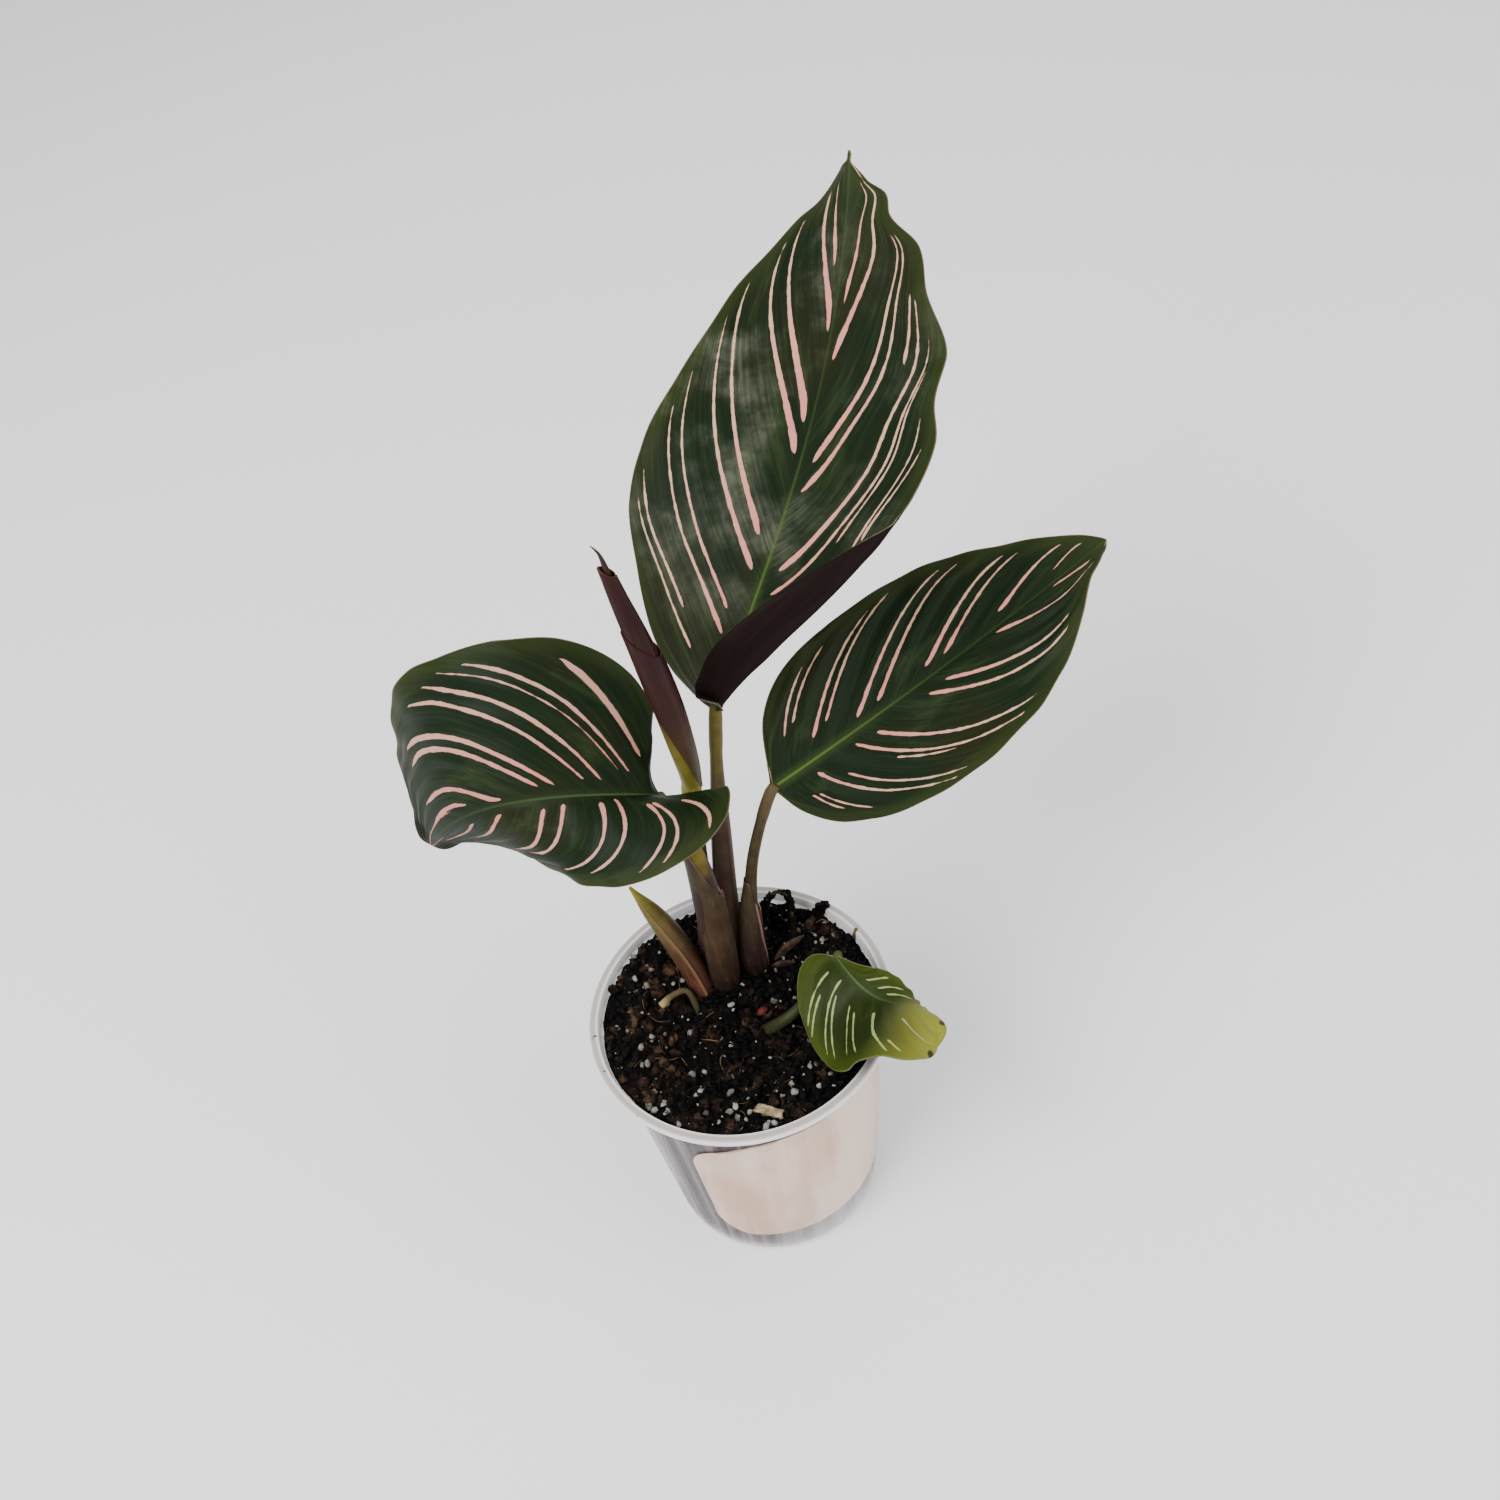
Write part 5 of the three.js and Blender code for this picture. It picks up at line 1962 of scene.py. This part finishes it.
@dataclass
class PottingMix:
    """The mix in the pot, with its rough top and the litter on it; sizes are in millimetres.

    Attributes:
        level: the height of its top round the stems.
        rise: how much higher it lies along the wall.
        mound_back: how far behind the pot's middle its mound lies.
        gap: how far it keeps from the wall.
        crown: how many crumbs lie round the stems.
        batch: how many shapes are made at a time.
        heap: the line that the heap of crumbs at the back follows.
    """

    pot: Pot
    effects: Effects
    level: float = 54.4
    rise: float = 3.1
    mound_height: float = 1.4
    mound_radius: float = 9.0
    mound_back: float = 8.0
    gap: float = 0.1
    rings: int = 76
    steps: int = 260
    clods: int = 760
    crumbs: int = 2200
    crown: int = 260
    perlite: int = 330
    fibres: int = 46
    batch: int = 60
    chip_at: Pair = (2.2, -24.0)
    chip_size: Triple = (5.0, 1.6, 1.1)
    bud_at: Pair = (4.1, 0)
    bud_radius: float = 0.95
    root: Path = Path(
        (
            (8, 17.2, 60), (8.7, 17.6, 65.6), (10.8, 18, 68.8),
            (12.9, 18, 68), (13.8, 18, 64.2), (12.8, 18, 54),
        ),
        (0.3, 0.4, 0.4, 0.4, 0.45, 0.5),
    )
    heap: Path = Path(
        ((17.6, 18.6, 55.5), (19.2, 19.4, 58.4), (19.9, 19.8, 59.8), (21.2, 19.4, 60)),
        (0.6, 0.7, 0.5, 0.4),
    )
    seed: int = 7

    def __post_init__(self) -> None:
        """Works out how far the mix reaches and starts its random numbers."""
        self.edge = self.pot.wall_radius(56) - self.pot.wall - self.gap
        self.random = random.Random(self.seed)

    def relief(self, x: float, y: float) -> float:
        """Gives the height of the top without its fine lumps.

        Args:
            x, y: the place.

        Returns:
            The height.
        """
        mound = self.mound_height * math.exp(-((x * x + (y - self.mound_back) ** 2) / self.mound_radius**2))
        bank = self.rise * smooth(math.hypot(x, y), 13, 25)
        waves = math.sin(x * 0.55 + 1) * math.cos(y * 0.48) + 0.7 * math.sin(x * 1.15 - y * 0.8)
        return self.level + mound + bank + 0.3 * waves

    def top(self, x: float, y: float) -> float:
        """Gives the height of the top with its clods.

        Args:
            x, y: the place.

        Returns:
            The height.
        """
        nearest, second = noise.voronoi(Vector((x * 0.42, y * 0.42, 2.0)))[0][:2]
        clods = min(1.0, 2.2 * (second - nearest))
        grit = noise.fractal(Vector((x * 1.3, y * 1.3, 5.0)), 1.0, 2.0, 3)
        return self.relief(x, y) + 1.1 * (clods - 0.75) + 0.35 * grit

    def scatter(self) -> Pair:
        """Draws a random place on the top."""
        r, angle = (self.edge - 0.7) * math.sqrt(self.random.random()), TURN * self.random.random()
        return r * math.cos(angle), r * math.sin(angle)

    def build(self) -> None:
        """Makes and dresses every part of the mix, in the order that its random numbers are drawn in."""
        self.build_body()
        self.build_lumps()
        self.build_fibres()
        self.build_chip()
        self.build_litter()
        self.build_clinging()
        self.build_bud()

    def build_body(self) -> None:
        """Makes the filling of the pot with its rough top."""
        inside = self.pot.wall_radius
        wall = self.pot.wall + self.gap
        base = self.pot.floor + self.gap
        outline = [(self.edge * k / self.rings, self.level) for k in range(self.rings + 1)]
        outline += [(inside(z) - wall, z) for z in (54, 52, 44, 33, 22, 11, 4)]
        outline += [(inside(3) - wall - 1.8, base), (0.0, base)]
        mesh = turned(outline, self.steps)
        for vert in mesh.verts:
            x, y, z = vert.co / MM
            if abs(z - self.level) < 0.01:
                drop = 0.5 * smooth(math.hypot(x, y), self.edge - 0.8, self.edge)
                vert.co.z = (self.top(x, y) - drop) * MM
        bmesh.ops.recalc_face_normals(mesh, faces=mesh.faces)
        finished(mesh, "mix_body", [self.peat("peat", -0.12)], ["potting_mix"])

    def grains(self, name: str, count: int, add: Callable[[Mesh], None], material: Material) -> None:
        """Makes a piece of many small shapes, in batches so that each stays quick.

        Args:
            name: the piece's name.
            count: how many shapes it has.
            add: adds one shape to a bmesh.
            material: the piece's finish.
        """
        whole = bmesh.new()
        for start in range(0, count, self.batch):
            part = bmesh.new()
            for _ in range(min(self.batch, count - start)):
                add(part)
            merge(whole, part)
        finished(whole, name, [material])

    def lump(
        self, mesh: Mesh, size: float, flatness: float, rough: float, sink: float, where: Pair | None = None
    ) -> None:
        """Adds one rough lump that lies on the top.

        Args:
            mesh: the bmesh that it is added to.
            size: its radius in millimetres; from 0.6 on it is made with more faces.
            flatness: its height as a share of its width.
            rough: how far its corners wander, as a share of its size.
            sink: how high its middle lies, as a share of its size.
            where: its place; drawn at random if none is given.
        """
        x, y = where or self.scatter()
        draw = self.random
        if size < 0.6:
            made = bmesh.ops.create_icosphere(mesh, subdivisions=1, radius=size * MM)
        else:
            made = bmesh.ops.create_uvsphere(mesh, u_segments=8, v_segments=6, radius=size * MM)
        shift = Vector((draw.random(), draw.random(), draw.random())) * 50
        for vert in made["verts"]:
            vert.co *= 1 + rough * noise.noise(vert.co / (size * MM) * 1.3 + shift)
        turn = Matrix.Rotation(TURN * draw.random(), 4, "Z")
        turn = turn @ Matrix.Rotation(draw.uniform(-0.7, 0.7), 4, "X")
        shape = Matrix.Diagonal((1, draw.uniform(0.55, 0.95), flatness, 1))
        place = Matrix.Translation(Vector((x, y, self.top(x, y) + size * sink)) * MM)
        bmesh.ops.transform(mesh, matrix=place @ turn @ shape, verts=made["verts"])

    def build_lumps(self) -> None:
        """Scatters clods and crumbs of peat and bark, and white grains of perlite."""
        draw = self.random

        def clod(mesh: Mesh) -> None:
            """Adds a large lump."""
            size = 0.6 + 0.8 * draw.random() ** 2
            self.lump(mesh, size, flatness=draw.uniform(0.6, 1.0), rough=1.3, sink=draw.uniform(-0.3, 0.25))

        def crumb(mesh: Mesh) -> None:
            """Adds a small lump."""
            size = 0.18 + 0.4 * draw.random() ** 2
            self.lump(mesh, size, flatness=draw.uniform(0.5, 0.95), rough=0.9, sink=draw.uniform(-0.2, 0.6))

        def collar(mesh: Mesh) -> None:
            """Adds a lump beside the stems.

            Args:
                mesh: the bmesh that gets it.
            """
            angle, far = TURN * draw.random(), draw.uniform(2, 7.5)
            size = draw.uniform(0.3, 0.9)
            place = (-1 + 1.1 * far * math.cos(angle), 10.5 + far * math.sin(angle))
            flatness, sink = draw.uniform(0.6, 1.0), draw.uniform(0.0, 1.2)
            self.lump(mesh, size, flatness, rough=1.2, sink=sink, where=place)

        def grain(mesh: Mesh) -> None:
            """Adds a grain of perlite."""
            size = 0.22 + 0.62 * draw.random() ** 2.6
            self.lump(mesh, size, flatness=0.85, rough=0.7, sink=draw.uniform(0.2, 0.9))

        self.grains("peat_clods", self.clods, clod, self.peat("peat_clods", 0.02))
        self.grains("peat_crumbs", self.crumbs, crumb, self.peat("peat_crumbs", -0.02))
        self.grains("crown_crumbs", self.crown, collar, self.peat("crown_crumbs", -0.04))
        self.grains("perlite", self.perlite, grain, self.glassy())

    def glassy(self) -> Material:
        """Makes the stained white of the perlite.

        Returns:
            The material.
        """
        surface = Surface("perlite")
        g = surface.graph
        stain = g.use(self.effects.grime, place=g.place())
        colour = g.mix(g.span(stain["Coarse"], 0.4, 0.6), srgb(142, 138, 130), srgb(70, 62, 54))
        colour = g.mix(g.span(stain["Fine"], 0.5, 0.75, 0.0, 0.4), colour, srgb(178, 174, 168))
        surface.set(base_color=colour, roughness=0.85, specular_ior_level=0.2)
        surface.bump((stain["Fine"], 0.1))
        return surface.material

    def build_fibres(self) -> None:
        """Scatters thin root and coir fibres."""
        draw = self.random

        def fibre(mesh: Mesh) -> None:
            """Adds a bent fibre that lies on the top.

            Args:
                mesh: the bmesh that gets it.
            """
            x, y = self.scatter()
            angle, length = TURN * draw.random(), draw.uniform(2, 6)
            bend = draw.uniform(-1.2, 1.2)
            points = []
            for k in range(4):
                t = k / 3
                turn = angle + bend * t
                px, py = x + length * t * math.cos(turn), y + length * t * math.sin(turn)
                far = max(1.0, math.hypot(px, py) / (self.edge - 0.8))
                arch = draw.uniform(0.1, 0.6) * math.sin(math.pi * t)
                points.append((px / far + 0.01 * k, py / far, self.top(px / far, py / far) + 0.1 + arch))
            thick = draw.uniform(0.06, 0.16)
            merge(mesh, bar(Path(points, (thick, thick, thick * 0.5), samples=16), sides=4, steps=8))

        self.grains("fibres", self.fibres, fibre, dry("fibres", srgb(44, 30, 20), srgb(104, 80, 54)))

    def build_chip(self) -> None:
        """Makes the pale wood chip near the front."""
        x, y = self.chip_at
        mesh = bmesh.new()
        bmesh.ops.create_cube(mesh, size=1)
        bmesh.ops.subdivide_edges(mesh, edges=mesh.edges, cuts=5, use_grid_fill=True)
        axes = {"use_axis_x": True, "use_axis_y": True, "use_axis_z": True}
        bmesh.ops.smooth_vert(mesh, verts=mesh.verts, factor=0.4, **axes)
        for vert in mesh.verts:
            vert.co += Vector((1, 1, 1)) * 0.16 * noise.noise(vert.co * 3.1 + Vector((4, 1, 2)))
        size = Matrix.Diagonal(Vector(self.chip_size) * MM).to_4x4()
        place = Matrix.Translation(Vector((x, y, self.relief(x, y) + 0.6)) * MM)
        bmesh.ops.transform(mesh, matrix=place @ Matrix.Rotation(-0.5, 4, "Z") @ size, verts=mesh.verts)
        finished(mesh, "wood_chip", [dry("wood_chip", srgb(110, 90, 64), srgb(170, 152, 120))])

    def build_litter(self) -> None:
        """Lays the brown scales, the dry stalks and the mossy root on the top."""
        scales = (
            Path(((8.4, 11.2, 56.2), (11.5, 12.2, 58.4), (15.2, 13.2, 59.6)), (1.0, 1.0, 0.9)),
            Path(((7.6, 9.8, 56.4), (9.8, 9.3, 57), (12.4, 9.2, 56.8)), (0.8, 0.9, 0.8)),
        )
        stalks = (
            Path(((24.4, 11.6, 53), (24.6, 11.8, 56), (25.6, 12.4, 59.4)), (0.5, 0.45, 0.35)),
            Path(((19.8, 19.2, 54), (19.4, 19.4, 57.4), (19.8, 20, 59.4)), (0.35, 0.3, 0.2)),
        )
        for name, paths, shape, dark, pale in (
            ("brown_scales", scales, flattened, srgb(34, 23, 17), srgb(74, 54, 40)),
            ("dry_stalks", stalks, gnarled, srgb(44, 34, 24), srgb(92, 80, 56)),
            ("mossy_root", (self.root,), gnarled, srgb(26, 24, 14), srgb(58, 58, 30)),
        ):
            mesh = bmesh.new()
            for path in paths:
                merge(mesh, bar(path, sides=10, steps=24, shape=shape))
            finished(mesh, name, [dry(name, dark, pale)])

    def build_clinging(self) -> None:
        """Sticks crumbs of peat along the mossy root and heaps some at the back."""
        mesh = bmesh.new()
        for path, count in ((self.root, 170), (self.heap, 130)):
            self.cling(mesh, path, count)
        finished(mesh, "clinging_crumbs", [self.peat("clinging_crumbs", -0.02)])

    def cling(self, mesh: Mesh, path: Path, count: int) -> None:
        """Sticks crumbs of peat along a path.

        Args:
            mesh: the bmesh that they are added to.
            path: the path.
            count: how many there are.
        """
        draw = self.random
        for _ in range(count):
            size = draw.uniform(0.25, 0.6)
            t, turn = draw.random() ** 0.8, TURN * draw.random()
            made = bmesh.ops.create_icosphere(mesh, subdivisions=1, radius=size * MM)
            for vert in made["verts"]:
                vert.co *= 1 + 0.9 * noise.noise(vert.co / (size * MM) + Vector((t, turn, size)) * 20)
            place = path.place(t, turn, path.radius(t) * draw.uniform(0.6, 1.6))
            bmesh.ops.translate(mesh, vec=place, verts=made["verts"])

    def build_bud(self) -> None:
        """Lays the red bud in front of the stems."""
        x, y = self.bud_at
        mesh = bmesh.new()
        made = bmesh.ops.create_uvsphere(mesh, u_segments=18, v_segments=12, radius=self.bud_radius * MM)
        shape = Matrix.Rotation(0.5, 4, "Z") @ Matrix.Diagonal((1.35, 0.85, 0.8, 1))
        place = Matrix.Translation(Vector((x, y, self.relief(x, y) + 0.9)) * MM)
        bmesh.ops.transform(mesh, matrix=place @ shape, verts=made["verts"])
        finished(mesh, "red_bud", [dry("red_bud", srgb(54, 20, 15), srgb(98, 38, 28))])

    def peat(self, name: str, lift: float) -> Material:
        """Makes the moist peat's material, painted lighter and browner towards the left as painted light.

        Args:
            name: the material's name.
            lift: how much lighter or darker than the usual tone it is.

        Returns:
            The material.
        """
        tones = (
            (0.42, srgb(5, 4, 4)), (0.54, srgb(15, 11, 9)), (0.64, srgb(38, 27, 20)), (0.78, srgb(78, 58, 42))
        )
        surface = Surface(name)
        g = surface.graph
        place = g.place()
        stain = g.use(self.effects.grime, place=place)
        # Painted light: lighter and browner towards the left, where the light falls.
        painted_light_left = g.span(g.split(place)[0], 0.0, -0.02, lift, lift + 0.07)
        colour = g.ramp(g.math("ADD", stain["Coarse"], painted_light_left), tones)
        grit = g.span(g.cells(place, 520.0), 0.14, 0.05, 0.0, 0.5)
        colour = g.mix(g.times(grit, g.span(stain["Fine"], 0.48, 0.62)), colour, srgb(120, 104, 84))
        roughness = g.span(stain["Fine"], 0.3, 0.7, 0.6, 0.95)
        surface.set(base_color=colour, roughness=roughness, specular_ior_level=0.08)
        surface.bump((stain["Coarse"], 0.5), (stain["Fine"], 0.2))
        return surface.material


def dress_rhizome(effects: Effects) -> None:
    """Gives the hidden rootstock its pale rough skin.

    Args:
        effects: the shared shader effects.
    """
    surface = Surface("rhizome_skin")
    g = surface.graph
    stain = g.use(effects.grime, place=g.place())
    colour = g.mix(g.span(stain["Coarse"], 0.35, 0.65), srgb(188, 164, 130), srgb(128, 96, 66))
    surface.set(base_color=colour, roughness=0.8)
    surface.bump((stain["Fine"], 0.15))
    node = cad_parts["rhizome"]
    node.data.materials.clear()
    node.data.materials.append(surface.material)
    LOG.info("dressed rhizome")


# The studio


@dataclass(frozen=True)
class Light:
    """A soft square light, with its place and its size in metres and its power in watts."""

    name: str
    place: Triple
    size: float
    power: float


@dataclass
class Studio:
    """The pale floor and lights, in metres, and the camera at the photograph's angle, in millimetres."""

    camera_mm: Triple = (11.8, -172.5, 299.9)
    right: Triple = (0.9806, -0.1386, -0.1386)
    up: Triple = (0.196, 0.6934, 0.6934)
    lens_mm: float = 36.0
    sensor_mm: float = 36.0
    lights: tuple[Light, ...] = (
        Light("key", (-0.45, -0.35, 0.75), 0.5, 9.0),
        Light("fill", (0.6, -0.3, 0.5), 0.6, 3.0),
        Light("back", (0.1, 0.7, 0.6), 0.6, 1.0),
    )
    aim: Triple = (0, 0.01, 0.08)
    room: float = 0.95
    floor: float = 3

    def build(self) -> None:
        """Sets up the floor, the lights and the camera."""
        self.build_floor()
        self.build_lights()
        self.build_camera()

    def build_floor(self) -> None:
        """Lays the floor."""
        mesh = bmesh.new()
        bmesh.ops.create_grid(mesh, x_segments=2, y_segments=2, size=self.floor)
        floor = linked("floor", as_data(mesh, "floor"))
        surface = Surface("floor")
        surface.set(base_color=(0.95, 0.95, 0.95), roughness=0.9, specular_ior_level=0.1)
        floor.data.materials.append(surface.material)

    def build_lights(self) -> None:
        """Hangs the soft lights in a bright room."""
        world = bpy.data.worlds.new("room")
        world.use_nodes = True
        Graph(world.node_tree).fill(world.node_tree.nodes["Background"], color=(1, 1, 1), strength=self.room)
        bpy.context.scene.world = world
        for light in self.lights:
            data = bpy.data.lights.new(light.name, "AREA")
            data.size = light.size
            data.energy = light.power
            lamp = linked(light.name, data)
            lamp.location = light.place
            lamp.rotation_euler = (Vector(self.aim) - Vector(light.place)).to_track_quat("-Z", "Y").to_euler()

    def build_camera(self) -> None:
        """Sets the camera."""
        data = bpy.data.cameras.new("camera")
        data.lens = self.lens_mm
        data.sensor_width = self.sensor_mm
        data.clip_start = 0.01
        camera = linked("camera", data)
        right, up = Vector(self.right).normalized(), Vector(self.up).normalized()
        turn = Matrix((right, up, right.cross(up))).transposed().to_4x4()
        camera.matrix_world = Matrix.Translation(Vector(self.camera_mm) * MM) @ turn
        bpy.context.scene.camera = camera


def main() -> None:
    """Builds the plant, its pot and the studio, in that order."""
    logging.basicConfig(level=logging.INFO, format="%(name)s: %(message)s")
    effects = Effects()
    pot = Pot()
    pot.build()
    PottingMix(pot, effects).build()
    dress_rhizome(effects)
    Stems().build()
    Sheaths().build()
    NewGrowth().build()
    Foliage(effects).build()
    Studio().build()


if __name__ == "__main__":
    main()
